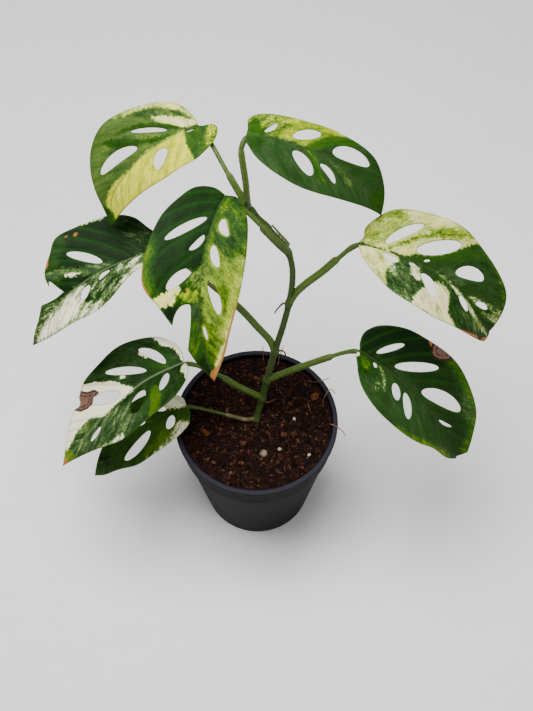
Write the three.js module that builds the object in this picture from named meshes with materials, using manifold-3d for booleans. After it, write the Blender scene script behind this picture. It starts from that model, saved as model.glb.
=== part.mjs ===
// A potted variegated Monstera laniata: eight pierced leaves on a short leaning vine in a black nursery pot.
// Millimetres, +Z up. The origin is the centre of the pot's flat underside, -Y is the plant's front.
//
// A blade is drawn flat first: u runs along the midrib from the petiole, v across it, positive to the left
// of the way the leaf points. bladePoint then bends that flat drawing into the drooping, folded blade.

import * as THREE from 'three';
import { mergeVertices } from 'three/addons/utils/BufferGeometryUtils.js';
import Module from 'manifold-3d';

const wasm = await Module();
wasm.setup();

// Gap between pieces that touch
const GAP = 0.3;

// Pot: a thin moulded nursery pot with a rolled lip and a stacking step under its upper band
const POT = {
  height: 115,
  lipRadius: 60,
  lipDepth: 4,
  lipRoll: 1.8,
  bandRadius: 57.6,
  bandDrop: 22,
  stepIn: 2.2,
  baseRadius: 42,
  baseEdge: 2.5,
  wall: 1.3,
  floor: 1.6,
  segments: 40,
  drainHoles: 6,
  drainRadius: 4.5,
  drainCircle: 27,
};

// Soil: coarse coir that stops a little below the lip
const SOIL = {
  level: 111,
  rings: 12,
  swell: 0.9,
  swellWidth: 16,
  crumbHeight: 0.9,
  crumbPitch: 7.3,
  fineHeight: 1.05,
  finePitch: 1.1,
  flatRim: 1,
};

// Vine: its route from the buried end to the growing point, and its nodes by height
const STEM = {
  radius: 2.8,
  tipRadius: 1.8,
  nodeSwell: 0.35,
  nodeLength: 2.6,
  endShare: 0.35,
  sides: 8,
  steps: 40,
  route: [
    [-3.4, -6, 70], [-2.8, -3, 90], [-0.8, 1.6, 107], [4.1, 11.9, 126], [7.8, 17.8, 142], [13.4, 26.9, 167],
    [19, 35, 188], [22.7, 41, 206], [24.6, 46.4, 221], [24.4, 50.5, 233], [21.4, 54.4, 245],
      [14.5, 58.2, 254.5],
    [7.1, 61.5, 263], [0, 64.6, 271], [-4.2, 66.4, 276.5],
  ],
  nodeHeights: [110, 126, 142, 167, 206, 245, 263, 274],
};

const PETIOLE = {
  sides: 8,
  steps: 12,
  groove: 0.22,
  baseRadius: 2.75,
  claspLength: 14,
  sheathRadius: 2.4,
  neckRadius: 1.65,
  endRadius: 1.6,
  baseShare: 0.35,
  endShare: 0.8,
};

// Blade: the midrib stands out as a keel underneath, the halves bend over foldSpan. The outline has a corner
// each marginPitch, and inner points lie on rows at these distances from the midrib.
const BLADE = {
  thickness: 0.8,
  ribDepth: 1.1,
  ribHalfWidth: 2.2,
  foldSpan: 30,
  waves: 2.5,
  marginPitch: 7,
  rowPitch: 10,
  rows: [11, -11, 21, -21],
  smallHole: 3.5,
};

// Leaves from the lowest to the highest. at is where the blade joins its petiole. yaw, pitch and roll
// set the blade there, in degrees; droop, bend and twist are how far they change by the tip. fold raises
// each half from the midrib and curl turns it down again over foldSpan, both as [left, right]. rib holds
// the midrib's wander at each quarter. girth scales the thickness of a slighter petiole. A margin is a
// list of smooth runs that meet in corners. A hole is [inner u, inner v, outer u, outer v, width, bow].
const LEAVES = [
  {
    name: 'low_left', length: 94, at: [-51, 5, 127],
    yaw: 200, pitch: -13, roll: 0, droop: 38, bend: 11, twist: 0, fold: [6, 6], curl: [14, 14],
    rib: [0, 0, 1, 0], wave: 0.8, wavePhase: 0.4,
    petiole: [[0, 3, 111], [-8, 0.8, 113.4], [-15, 1.6, 115.4], [-27, 3.2, 118.8],
      [-36, 4, 122], [-44, 4.7, 124.3]],
    sheathEnd: 0.45, girth: 0.72,
    left: [[[0, 0], [-1, 6], [3, 15], [14, 20], [36, 22], [52, 21], [70, 13], [84, 7], [94, 0]]],
    right: [[[0, 0], [0, -6], [4, -11], [12, -18], [24, -23], [40, -24], [56, -20], [74, -11], [86, -5],
      [94, 0]]],
    holes: [
      [12, 2.5, 19, 11, 7, 0.6], [32, 4.5, 61, 11, 8.5, 1.8], [15, -4, 25, -15, 5, 0.4],
        [33, -4, 54, -15, 7, -0.6],
    ],
  },
  {
    name: 'front_left', length: 119, at: [-50, 17, 168],
    yaw: 203, pitch: -7, roll: 6, droop: 39, bend: 19, twist: -2, fold: [19, 12], curl: [8, 6],
    rib: [-1.5, 0.5, 2, 0], wave: 1, wavePhase: 2.1,
    petiole: [[4.1, 11.9, 126], [-3, 11.6, 134], [-12, 12.5, 141], [-26, 15.5, 152.5],
      [-38, 17.2, 160.5], [-45, 17.6, 164.3]],
    sheathEnd: 0.55, girth: 0.92,
    left: [[[0, 0], [-1, 7], [1, 13], [5, 20], [14, 27], [32, 32], [52, 34], [66, 30], [81, 22],
      [98, 12], [110, 5],
      [119, 0]]],
    right: [
      [[0, 0], [-1, -6], [-1, -12], [2, -19], [10, -28], [27, -34], [41, -36], [54, -34], [66, -30],
        [75, -23]],
      [[75, -23], [76.5, -19.5], [79, -18], [82, -19]],
      [[82, -19], [90, -16], [102, -9], [112, -3], [119, 0]],
    ],
    holes: [
      [12, -5.5, 24, -25, 6.5, -1.2], [26, -7.5, 51, -25, 6, 0], [50, -3.5, 69, -13, 8.4, -0.6],
      [14, 3, 23, 16, 6.4, 0.4], [34, 6, 47, 21, 10.6, -0.8], [74, 7, 86, 10, 4.5, 0.5],
    ],
  },
  {
    name: 'low_right', length: 111, at: [71, 14, 188],
    yaw: -30, pitch: -12, roll: 5, droop: 49, bend: -9, twist: 1, fold: [33, 27], curl: [3, 11],
    rib: [0, -0.5, -0.5, -1], wave: 0.9, wavePhase: 1.2,
    petiole: [[7.8, 17.8, 142], [13, 17.6, 147], [31, 18.3, 159.5], [53, 18.1, 174.5],
      [64.5, 16.6, 182.8]],
    sheathEnd: 0.72, girth: 0.92,
    left: [
      [[0, 0], [-3, 5], [-4, 12], [-1, 18], [4, 23], [18, 31], [33, 34], [51, 35], [66, 33], [82, 27],
        [99, 16],
        [111, 8]],
      [[111, 8], [111, 3], [110, -3]],
    ],
    right: [[[0, 0], [-1, -5], [2, -11], [7, -20], [14, -28], [31, -36], [51, -34], [67, -29],
      [80, -21], [98, -13],
      [110, -3]]],
    holes: [
      [10, 5, 21, 21, 4.4, 0], [25, 5, 46, 24, 6.8, -0.4], [50, 5, 78, 17, 10.4, 1.4],
        [75, 1.5, 85, 6, 2.4, -0.6],
      [32, -5.5, 38, -17.5, 7.3, 0], [41.5, -6, 52, -22, 7.8, 0.3], [12.5, -1.5, 15, -6, 3, 0],
    ],
  },
  {
    name: 'mid_left', length: 118, at: [-61, 69, 228],
    yaw: 194, pitch: 8, roll: 0, droop: 58, bend: 32, twist: -2, fold: [21, 20], curl: [8, 0],
    rib: [1, 0, -1, 0], wave: 0.9, wavePhase: 3.0,
    petiole: [[13.4, 26.9, 167], [10, 31, 173.5], [1.5, 36.5, 182], [-11, 44.5, 194], [-28, 53, 206],
      [-44.5, 61.5, 217.5]],
    sheathEnd: 0.5,
    left: [[[0, 0], [-2, 5], [3, 9], [14, 12], [24, 16], [33, 22], [46, 30], [61, 31], [78, 25],
      [96, 16], [108, 8],
      [118, 0]]],
    right: [
      [[0, 0], [-1, -5], [2, -11], [8, -18], [15, -27], [29, -33], [46, -36], [58, -36], [66, -29],
        [76, -21],
        [79, -13]],
      [[79, -13], [76.5, -16], [75, -9], [74, -4]],
      [[74, -4], [80, -4.5], [86, -6.5], [91, -9]],
      [[91, -9], [100, -5], [110, -2.5], [118, 0]],
    ],
    holes: [[42, -5, 58, -23, 5.8, 0], [40, 4, 49, 7.5, 4.4, -0.9], [57, 6, 65, 15, 6.8, -0.6]],
  },
  {
    name: 'right', length: 122, at: [66, 52, 257],
    yaw: -10, pitch: 0, roll: 9, droop: 64, bend: -17, twist: 4, fold: [27, 18], curl: [2, 10],
    rib: [-2, -1, -1, -5], wave: 0.9, wavePhase: 0.2,
    petiole: [[22.7, 41, 206], [27, 43.5, 213.5], [33.5, 45.3, 221.5], [44.7, 47.9, 232.5],
      [55.2, 50.4, 245], [61.5, 51.8, 252]],
    sheathEnd: 0.74,
    left: [
      [[0, 0], [3, 5], [3, 10], [6, 15], [16, 25], [29, 30], [52, 33], [68, 30], [85, 27], [101, 22],
        [109, 16],
        [117, 5], [120, -2]],
      [[120, -2], [119, -7], [117, -11]],
    ],
    right: [[[0, 0], [3, -8], [7, -15], [14, -22], [26, -30], [41, -34], [60, -33], [82, -27],
      [94, -23], [109, -16],
      [117, -11]]],
    holes: [
      [17, 4, 35, 23, 6, 0.4], [37, 6, 59, 23, 9, -0.7], [44, 2, 47.5, 4.2, 1.7, 0],
        [66, 7, 84, 16, 8.8, 1.4],
      [92, 2, 102, 5.5, 4, 0.4], [17, -3.8, 28, -6.5, 5.6, -1.3], [35, -4, 37, -6, 1.5, 0],
      [45, -8, 58, -20, 9, 1.3], [77, -4.5, 88, -9, 6.2, 0.3],
    ],
  },
  {
    name: 'centre', length: 123, at: [-18, 66, 287],
    yaw: 242, pitch: -5, roll: -7, droop: 54, bend: 53, twist: 0, fold: [8, 12], curl: [14, 10],
    rib: [1, 0, -2.5, 0], wave: 0.8, wavePhase: 4.2,
    petiole: [[21.4, 54.4, 245], [15.5, 52.6, 256], [7, 54.6, 267], [-1, 58, 275.5], [-8.5, 62, 281],
      [-14.5, 65, 284]],
    sheathEnd: 0.5,
    left: [[[0, 0], [-2, 5], [-1, 10], [4, 15], [11, 20], [29, 25], [49, 26], [71, 23], [93, 16],
      [108, 10], [123, 0]]],
    right: [
      [[0, 0], [-1, -6], [0, -11], [5, -19], [15, -25], [27, -31], [40, -34], [55, -36], [63, -35],
        [73, -26],
        [83, -19]],
      [[83, -19], [78, -17], [73, -12.5], [72.5, -7], [80, -7], [89, -9], [98, -12]],
      [[98, -12], [108, -8], [116, -3.5], [123, 0]],
    ],
    holes: [
      [19, -4, 38, -25, 5.3, 0.4], [30, -2, 41, -9, 3.8, 0.9], [52, -6, 64, -21, 6.4, -0.5],
      [16, 6, 27, 12, 5.8, -1.4], [35, 5, 49, 10, 5.4, -0.5], [58, 5, 80, 11, 6, 0.9],
        [86, 0.5, 95, 1.5, 2, 0],
    ],
  },
  {
    name: 'top_left', length: 98, at: [-36, 108, 305],
    yaw: 187, pitch: -8, roll: -15, droop: 60, bend: 50, twist: 0, fold: [10, 22], curl: [12, 4],
    rib: [2, 1, -0.5, 4], wave: 0.8, wavePhase: 5.1,
    petiole: [[-4, 66.2, 275.5], [-9, 70.4, 282.5], [-18.6, 82.7, 293.5], [-26.8, 96.3, 300],
      [-33, 105.5, 302.8]],
    sheathEnd: 0.4, girth: 0.9,
    left: [[[0, 0], [-4, 0.5], [-9, 0.5], [-12, 4], [-10, 12], [-4, 18], [4, 23], [21, 25], [41, 23],
      [61, 17], [80, 10],
      [97, 4]]],
    right: [[[0, 0], [0, -3], [3, -9], [8, -16], [16, -21], [35, -28], [46, -30], [57, -27], [66, -21],
      [75, -13],
      [86, -3], [97, 4]]],
    holes: [
      [19, -3.5, 37, -15, 3, 0.2], [40, -5, 66, -13, 7.1, -1.2], [24, 8, 38, 15.5, 8.6, -1],
      [2, 1.8, 8, 2.6, 1.6, 0],
    ],
  },
  {
    name: 'top_right', length: 106, at: [-5, 83, 322],
    yaw: -1, pitch: -2, roll: 4, droop: 56, bend: -26, twist: 4, fold: [4, 3], curl: [16, 18],
    rib: [1.5, 0, 0.5, 0], wave: 0.8, wavePhase: 2.6,
    petiole: [[-4, 66.2, 275.5], [-4.6, 64.6, 283], [-4.9, 65.2, 290], [-5.6, 68.2, 299],
      [-7.4, 74.2, 311], [-7.8, 77.6, 316.5],
      [-6, 81.6, 319.5]],
    sheathEnd: 0.82, girth: 0.88,
    left: [[[0, 0], [1, 5], [1, 12], [4, 16], [12, 19], [34, 20], [54, 24], [76, 25], [84, 23],
      [97, 13], [106, 0]]],
    right: [[[0, 0], [0, -4], [2, -8], [6, -14], [12, -19], [22, -24], [36, -26], [54, -24], [66, -20],
      [79, -14],
      [96, -5], [106, 0]]],
    holes: [
      [11, 4, 18, 12, 3.2, -0.6], [28, 5, 44, 15.5, 7.1, 0], [54, 7, 79, 17, 10.8, 1.6],
      [30, -5, 46, -15.5, 9, 0.3], [49, -5.5, 63, -11.5, 5, 1.1],
    ],
  },
];

// Thin brown aerial roots: from a node of the vine, out and down
const AERIAL_ROOTS = [
  { name: 'aerial_root_upper', radius: 0.75, route: [[22.4, 41, 203.5], [19.3, 42.6, 203.5],
    [16, 41.8, 200], [12.6, 40.4, 194]] },
  { name: 'aerial_root_middle', radius: 0.7, route: [[13.6, 26.5, 165.5], [17, 28.2, 165.5],
    [20, 28.6, 163], [21.4, 27.4, 158]] },
  { name: 'aerial_root_lower', radius: 0.8, route: [[3.4, 10, 122], [6.6, 10.7, 121.4],
    [10.2, 12.8, 119], [14.4, 16.3, 117]] },
];

// Papery remains of an old sheath, lying along the back of the vine above its fifth node
const OLD_SHEATH = {
  halfWidth: 1.3,
  halfThickness: 0.35,
  route: [[22.6, 57.3, 248.5], [17.1, 60, 255.7], [10.8, 62.8, 263]],
};

// Pieces that lie in the soil's surface: [name, x, y, size along x, y and z, turn in degrees, colour]
const SOIL_PIECES = [
  ['pale_pebble', 5.2, -25.9, 2.9, 2.5, 2.1, 60, 0xb9a58f],
  ['perlite_front', 38.2, -27.3, 1.5, 1.4, 1.3, 10, 0xe9e4da],
  ['perlite_middle', 16.9, -22.5, 1.3, 1.2, 1.1, 60, 0xe4ddd0],
  ['perlite_right', 27.8, 2.4, 1.3, 1.2, 1.1, 0, 0xe6dfd4],
  ['bark_chip_back', 0.8, 36.6, 3.2, 1.7, 1.4, -20, 0xa0664a],
  ['bark_chip_right', 43.8, 20.6, 4.2, 2.7, 1.9, 70, 0x8c5a38],
  ['bark_chip_left', -37.6, -9, 4.6, 2.4, 1.6, -30, 0x5b3826],
  ['bark_chip_front', 27.2, -10.3, 2.8, 2.2, 1.4, 15, 0x8a5230],
];

// Loose coir strands that loop out of the soil, some of them over the pot's lip
const COIR_RADIUS = 0.42;
const COIR_STRANDS = [
  [[38.2, 36.8, 109], [40.9, 33.9, 112], [43.8, 31.8, 114.9], [46.2, 31.8, 116], [51.1, 33.2, 116.1],
    [54.8, 34.4, 116.5]],
  [[49.8, 12.5, 109], [49.6, 15.7, 113], [51.2, 19.4, 115.7], [53.4, 22.9, 116.3], [55.5, 24.8, 116.3],
    [57.6, 23.5, 115.9], [58.8, 21.9, 114.2]],
  [[38.6, 20.2, 109], [38.5, 13.2, 113], [39.7, 8.6, 113.4], [41.8, 5.3, 109]],
  [[54.1, -0.3, 109], [54.5, -2.6, 112.6], [54.8, -4.2, 115.2], [56.6, -5.4, 116.2], [59.8, -7.6, 116],
    [63.2, -10.1, 115.3], [64.6, -12.6, 113.2]],
  [[5.1, 52.6, 109], [5, 54.1, 112.5], [4.9, 54.6, 115.3], [4.8, 57.6, 116.2], [4.6, 60.8, 116.4],
    [4.4, 62.4, 117.4]],
  [[16.5, 50.2, 109], [16.7, 51.6, 113], [17, 52.4, 115.6], [18.2, 56, 116.2], [19.6, 60.4, 116.5],
    [21, 62.6, 117.8]],
];

const COLOURS = {
  pot: { color: 0x17171a, roughness: 0.55 },
  soil: { color: 0x35221a, roughness: 0.98 },
  vine: { color: 0x5f7f33, roughness: 0.5 },
  petiole: { color: 0x7c9c4c, roughness: 0.48 },
  blade: { color: 0x4c7a3a, roughness: 0.42 },
  root: { color: 0x7b5238, roughness: 0.9 },
  strand: { color: 0xa06a48, roughness: 0.9 },
  sheath: { color: 0x9a8a5c, roughness: 0.85 },
};

const radians = THREE.MathUtils.degToRad;
const toPoints = (list) => list.map(([x, y, z]) => new THREE.Vector3(x, y, z));
const smoothCurve = (list) => new THREE.CatmullRomCurve3(toPoints(list), false, 'centripetal');

// A repeatable value from 0 to 1 for a place on the soil
function grain(i, j) {
  const s = Math.sin(i * 127.1 + j * 311.7) * 43758.5453;
  return s - Math.floor(s);
}

// Solids and meshes
function toSolid(geometry) {
  const bare = geometry.clone();
  bare.deleteAttribute('normal');
  bare.deleteAttribute('uv');
  const merged = mergeVertices(bare, 1e-3);
  const vertProperties = new Float32Array(merged.attributes.position.array);
  const triVerts = new Uint32Array(merged.index.array);
  return new wasm.Manifold(new wasm.Mesh({ numProp: 3, vertProperties, triVerts }));
}

function toGeometry(solid) {
  const mesh = solid.getMesh();
  const geometry = new THREE.BufferGeometry();
  geometry.setAttribute('position', new THREE.BufferAttribute(new Float32Array(mesh.vertProperties), 3));
  geometry.setIndex(new THREE.BufferAttribute(new Uint32Array(mesh.triVerts), 1));
  return geometry;
}

function named(name, geometry, { color, roughness }) {
  geometry.computeVertexNormals();
  const mesh = new THREE.Mesh(geometry, new THREE.MeshStandardMaterial({ color, roughness, metalness: 0 }));
  mesh.name = name;
  return mesh;
}

// A section extruded along +Z, then bent along a curve. The section's +Y side faces up, or forward where the
// curve itself climbs. scaleAt gives the section's size at each fraction of the way.
function sweep(section, curve, steps, scaleAt) {
  const geometry = new THREE.ExtrudeGeometry(section, { depth: 1, steps, bevelEnabled: false });
  const position = geometry.attributes.position;
  const stations = [];
  let side = new THREE.Vector3(1, 0, 0);
  for (let k = 0; k <= steps; k++) {
    const tangent = curve.getTangentAt(k / steps);
    const across = new THREE.Vector3().crossVectors(tangent, new THREE.Vector3(0, 0, 1));
    if (across.length() > 0.2) {
      side = across.normalize();
    } else {
      side = side.clone().addScaledVector(tangent, -side.dot(tangent)).normalize();
    }
    const up = new THREE.Vector3().crossVectors(side, tangent);
    stations.push({ centre: curve.getPointAt(k / steps), side, up, scale: scaleAt(k / steps) });
  }
  for (let i = 0; i < position.count; i++) {
    const { centre, side: right, up, scale } = stations[Math.round(position.getZ(i) * steps)];
    const point = centre.clone();
    point.addScaledVector(right, -position.getX(i) * scale);
    point.addScaledVector(up, position.getY(i) * scale);
    position.setXYZ(i, point.x, point.y, point.z);
  }
  return geometry;
}

function roundSection(sides, groove = 0) {
  const section = new THREE.Shape();
  for (let k = 0; k < sides; k++) {
    const angle = (k / sides) * 2 * Math.PI + Math.PI / 2;
    const r = k === 0 ? 1 - groove : 1;
    section[k ? 'lineTo' : 'moveTo'](Math.cos(angle) * r, Math.sin(angle) * r);
  }
  section.closePath();
  return section;
}

// Rounds both ends of a sweep of the given length, down to the share least of its radius
const endRound = (t, length, radius, least) => {
  const fromEnd = Math.min(t, 1 - t) * length;
  const missing = Math.max(0, 1 - fromEnd / radius);
  return Math.max(least, Math.sqrt(1 - missing * missing));
};

// Pot
function potGeometry() {
  const { height, lipRadius, lipDepth, lipRoll, bandRadius, stepIn, baseRadius, baseEdge, wall } = POT;
  const bandBottom = height - POT.bandDrop;
  const waist = bandRadius - stepIn;
  const profile = [
    [0, 0], [baseRadius - baseEdge, 0], [baseRadius, baseEdge], [waist, bandBottom - 3],
    [bandRadius - 0.4, bandBottom], [bandRadius, height - lipDepth],
    [lipRadius, height - lipDepth + 0.6], [lipRadius, height - lipRoll * 0.6],
      [lipRadius - lipRoll * 0.5, height],
    [bandRadius - wall + 0.3, height], [bandRadius - wall - 0.2, height - 1],
    [bandRadius - 0.4 - wall, bandBottom + 0.8], [waist - wall, bandBottom - 2.4],
    [baseRadius - wall, baseEdge + 1], [baseRadius - wall - baseEdge, POT.floor], [0, POT.floor],
  ];
  const body = new THREE.LatheGeometry(profile.map(([r, z]) => new THREE.Vector2(r, z)), POT.segments);
  body.rotateX(Math.PI / 2);
  let pot = toSolid(body);
  for (let k = 0; k < POT.drainHoles; k++) {
    const angle = (k / POT.drainHoles) * 2 * Math.PI;
    const drill = new THREE.CylinderGeometry(POT.drainRadius, POT.drainRadius, 6, 16);
    drill.rotateX(Math.PI / 2);
    drill.translate(Math.cos(angle) * POT.drainCircle, Math.sin(angle) * POT.drainCircle, 1);
    pot = pot.subtract(toSolid(drill));
  }
  return toGeometry(pot);
}

// Soil surface height: a low swell and coarse crumbs, flat at the wall
function soilHeight(x, y) {
  const swell = Math.sin(x / SOIL.swellWidth + 0.6) * Math.cos(y / SOIL.swellWidth);
  const crumb = grain(Math.round(x / SOIL.crumbPitch), Math.round(y / SOIL.crumbPitch)) - 0.5;
  const fine = grain(Math.round(x / SOIL.finePitch), Math.round(y / SOIL.finePitch)) - 0.5;
  return SOIL.level + swell * SOIL.swell + crumb * SOIL.crumbHeight + fine * SOIL.fineHeight;
}

function soilGeometry() {
  const inner = (r) => r - POT.wall - GAP * 1.2;
  const bandBottom = POT.height - POT.bandDrop;
  const waist = POT.bandRadius - POT.stepIn;
  const rim = inner(POT.bandRadius - 0.5);
  const profile = [
    [0, POT.floor + GAP], [inner(POT.baseRadius) - POT.baseEdge, POT.floor + GAP],
    [inner(POT.baseRadius), POT.baseEdge + 1], [inner(waist), bandBottom - 2.4],
    [inner(POT.bandRadius - 0.4), bandBottom + 0.8],
  ];
  for (let k = 0; k < SOIL.rings; k++) {
    profile.push([rim * (1 - k / SOIL.rings), SOIL.level]);
  }
  profile.push([0, SOIL.level]);
  const geometry = new THREE.LatheGeometry(profile.map(([r, z]) => new THREE.Vector2(r, z)), POT.segments);
  geometry.rotateX(Math.PI / 2);
  const position = geometry.attributes.position;
  for (let i = 0; i < position.count; i++) {
    const [x, y, z] = [position.getX(i), position.getY(i), position.getZ(i)];
    const radius = Math.hypot(x, y);
    if (Math.abs(z - SOIL.level) < 0.01 && radius < rim - SOIL.flatRim) {
      const place = radius < 0.01 ? [0, 0] : [x, y];
      position.setZ(i, soilHeight(...place));
    }
  }
  return geometry;
}

// Vine
const stemCurve = smoothCurve(STEM.route);

function stemGeometry(extra = 0) {
  const length = stemCurve.getLength();
  const scaleAt = (t) => {
    const z = stemCurve.getPointAt(t).z;
    let r = THREE.MathUtils.lerp(STEM.radius, STEM.tipRadius, t);
    for (const node of STEM.nodeHeights) {
      r += r * STEM.nodeSwell * Math.exp(-(((z - node) / STEM.nodeLength) ** 2));
    }
    return r * endRound(t, length, STEM.radius, STEM.endShare) + extra;
  };
  return sweep(roundSection(STEM.sides), stemCurve, STEM.steps, scaleAt);
}

// Leaf blade. ribFrame is the blade's forward, left and up directions at a fraction of its length.
function ribFrame(leaf, t) {
  const yaw = radians(leaf.yaw + leaf.bend * t);
  const pitch = radians(leaf.pitch - leaf.droop * t);
  const roll = radians(leaf.roll + leaf.twist * t);
  const level = Math.cos(pitch);
  const forward = new THREE.Vector3(level * Math.cos(yaw), level * Math.sin(yaw), Math.sin(pitch));
  const flatLeft = new THREE.Vector3(-Math.sin(yaw), Math.cos(yaw), 0);
  const flatUp = new THREE.Vector3().crossVectors(forward, flatLeft);
  const left = flatLeft.clone().multiplyScalar(Math.cos(roll)).addScaledVector(flatUp, Math.sin(roll));
  return { forward, left, up: new THREE.Vector3().crossVectors(forward, left) };
}

// Points along the bent midrib plane, RIB_STEPS to the blade's length and a few past its tip
const RIB_STEPS = 24;
function ribStations(leaf) {
  const stations = [new THREE.Vector3(...leaf.at)];
  for (let k = 0; k < RIB_STEPS + 3; k++) {
    const { forward } = ribFrame(leaf, (k + 0.5) / RIB_STEPS);
    stations.push(stations[k].clone().addScaledVector(forward, leaf.length / RIB_STEPS));
  }
  return stations;
}

function bladePoint(leaf, u, v) {
  const t = THREE.MathUtils.clamp(u / leaf.length, 0, (RIB_STEPS + 3) / RIB_STEPS);
  const k = Math.min(Math.floor(t * RIB_STEPS), RIB_STEPS + 2);
  const { forward, left, up } = ribFrame(leaf, t);
  const side = v < 0 ? 1 : 0;
  const fold = radians(leaf.fold[side]);
  const curl = radians(leaf.curl[side]) / BLADE.foldSpan + 1e-6;
  const away = Math.abs(v);
  const across = (Math.sin(fold) - Math.sin(fold - curl * away)) / curl;
  let rise = (Math.cos(fold - curl * away) - Math.cos(fold)) / curl;
  const wave = Math.sin(2 * Math.PI * BLADE.waves * (u / leaf.length) + leaf.wavePhase + side * 2);
  rise += leaf.wave * wave * (away / BLADE.foldSpan) ** 2;
  const point = leaf.stations[k].clone().lerp(leaf.stations[k + 1], t * RIB_STEPS - k);
  point.addScaledVector(forward, u - t * leaf.length);
  point.addScaledVector(left, Math.sign(v) * across);
  return point.addScaledVector(up, rise);
}

function bladeNormal(leaf, u, v) {
  const e = 0.5;
  const along = bladePoint(leaf, u + e, v).sub(bladePoint(leaf, u - e, v));
  const across = bladePoint(leaf, u, v + e).sub(bladePoint(leaf, u, v - e));
  return along.cross(across).normalize();
}

// The midrib's wander from v = 0, from its values at each quarter of the length
function ribOffset(leaf, u) {
  const values = [0, ...leaf.rib];
  const t = THREE.MathUtils.clamp(u / leaf.length, 0, 1) * 4;
  const k = Math.min(Math.floor(t), 3);
  const f = t - k;
  const ease = f * f * (3 - 2 * f);
  return values[k] + (values[k + 1] - values[k]) * ease;
}

// Smooth runs to evenly spaced corner points, without the last point of each run
function traceRuns(runs, pitch) {
  const points = [];
  for (const run of runs) {
    const curve = smoothCurve(run.map(([u, v]) => [u, v, 0]));
    const count = Math.max(1, Math.round(curve.getLength() / pitch));
    for (let k = 0; k < count; k++) {
      const p = curve.getPointAt(k / count);
      points.push(new THREE.Vector2(p.x, p.y));
    }
  }
  return points;
}

function marginLoop(leaf, pitch) {
  const lastOf = (runs) => runs[runs.length - 1][runs[runs.length - 1].length - 1];
  const leftSide = traceRuns(leaf.left, pitch);
  const rightSide = traceRuns(leaf.right, pitch);
  const tip = new THREE.Vector2(...lastOf(leaf.left));
  return [...rightSide, tip, ...leftSide.slice(1).reverse()];
}

// A hole: an oval whose axis runs from its inner to its outer end, bowed sideways in the middle
function holeLoop([u0, v0, u1, v1, width, bow], count) {
  const axis = new THREE.Vector2(u1 - u0, v1 - v0);
  const normal = new THREE.Vector2(-axis.y, axis.x).normalize();
  const points = [];
  for (let k = 0; k < count; k++) {
    const angle = (k / count) * 2 * Math.PI;
    const along = (1 - Math.cos(angle)) / 2;
    const sideways = -Math.sin(angle) * (width / 2) + bow * Math.sin(angle) ** 2;
    points.push(new THREE.Vector2(u0, v0).addScaledVector(axis, along).addScaledVector(normal, sideways));
  }
  return points;
}

const cross = (a, b, c) => (b.x - a.x) * (c.y - a.y) - (b.y - a.y) * (c.x - a.x);

function inside(point, loop) {
  let odd = false;
  for (let i = 0, j = loop.length - 1; i < loop.length; j = i++) {
    const [a, b] = [loop[i], loop[j]];
    if (a.y > point.y !== b.y > point.y && point.x < ((b.x - a.x) * (point.y - a.y)) / (b.y - a.y) + a.x) {
      odd = !odd;
    }
  }
  return odd;
}

function edgeDistance(point, loop) {
  let nearest = Infinity;
  for (let i = 0; i < loop.length; i++) {
    const a = loop[i];
    const edge = loop[(i + 1) % loop.length].clone().sub(a);
    const along = THREE.MathUtils.clamp(point.clone().sub(a).dot(edge) / edge.lengthSq(), 0, 1);
    nearest = Math.min(nearest, a.clone().addScaledVector(edge, along).distanceTo(point));
  }
  return nearest;
}

// Splits the triangle that holds each inner point, then flips edges until the triangles are well shaped
function refine(points, triangles, innerPoints) {
  for (const point of innerPoints) {
    const home = triangles.findIndex(([a, b, c]) => {
      const area = cross(points[a], points[b], points[c]);
      const parts = [[a, b], [b, c], [c, a]].map(([p, q]) => cross(points[p], points[q], point) / area);
      return Math.min(...parts) > 0.01;
    });
    if (home >= 0) {
      const [a, b, c] = triangles[home];
      const n = points.push(point) - 1;
      triangles.splice(home, 1, [a, b, n], [b, c, n], [c, a, n]);
      flipEdges(points, triangles);
    }
  }
}

function flipEdges(points, triangles) {
  for (let pass = 0; pass < 20; pass++) {
    const owner = new Map();
    let flipped = false;
    triangles.forEach((triangle, index) => {
      triangle.forEach((a, k) => owner.set(`${a},${triangle[(k + 1) % 3]}`, index));
    });
    for (let index = 0; index < triangles.length; index++) {
      for (let k = 0; k < 3; k++) {
        const [a, b, c] = [0, 1, 2].map((n) => triangles[index][(k + n) % 3]);
        const other = owner.get(`${b},${a}`);
        if (other === undefined || !triangles[other].includes(a) || !triangles[other].includes(b)) continue;
        const d = triangles[other].find((n) => n !== a && n !== b);
        const [pa, pb, pc, pd] = [a, b, c, d].map((n) => points[n]);
        const angleAt = (apex, p, q) => {
          const [m, n] = [p.clone().sub(apex), q.clone().sub(apex)];
          return Math.acos(THREE.MathUtils.clamp(m.dot(n) / (m.length() * n.length()), -1, 1));
        };
        const sum = angleAt(pc, pa, pb) + angleAt(pd, pa, pb);
        if (sum > Math.PI + 1e-4 && cross(pa, pd, pc) > 1e-3 && cross(pd, pb, pc) > 1e-3) {
          triangles[index] = [a, d, c];
          triangles[other] = [d, b, c];
          flipped = true;
          [[a, d], [d, c], [c, a]].forEach(([p, q]) => owner.set(`${p},${q}`, index));
          [[d, b], [b, c], [c, d]].forEach(([p, q]) => owner.set(`${p},${q}`, other));
          k = 3;
        }
      }
    }
    if (!flipped) return;
  }
}

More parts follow.
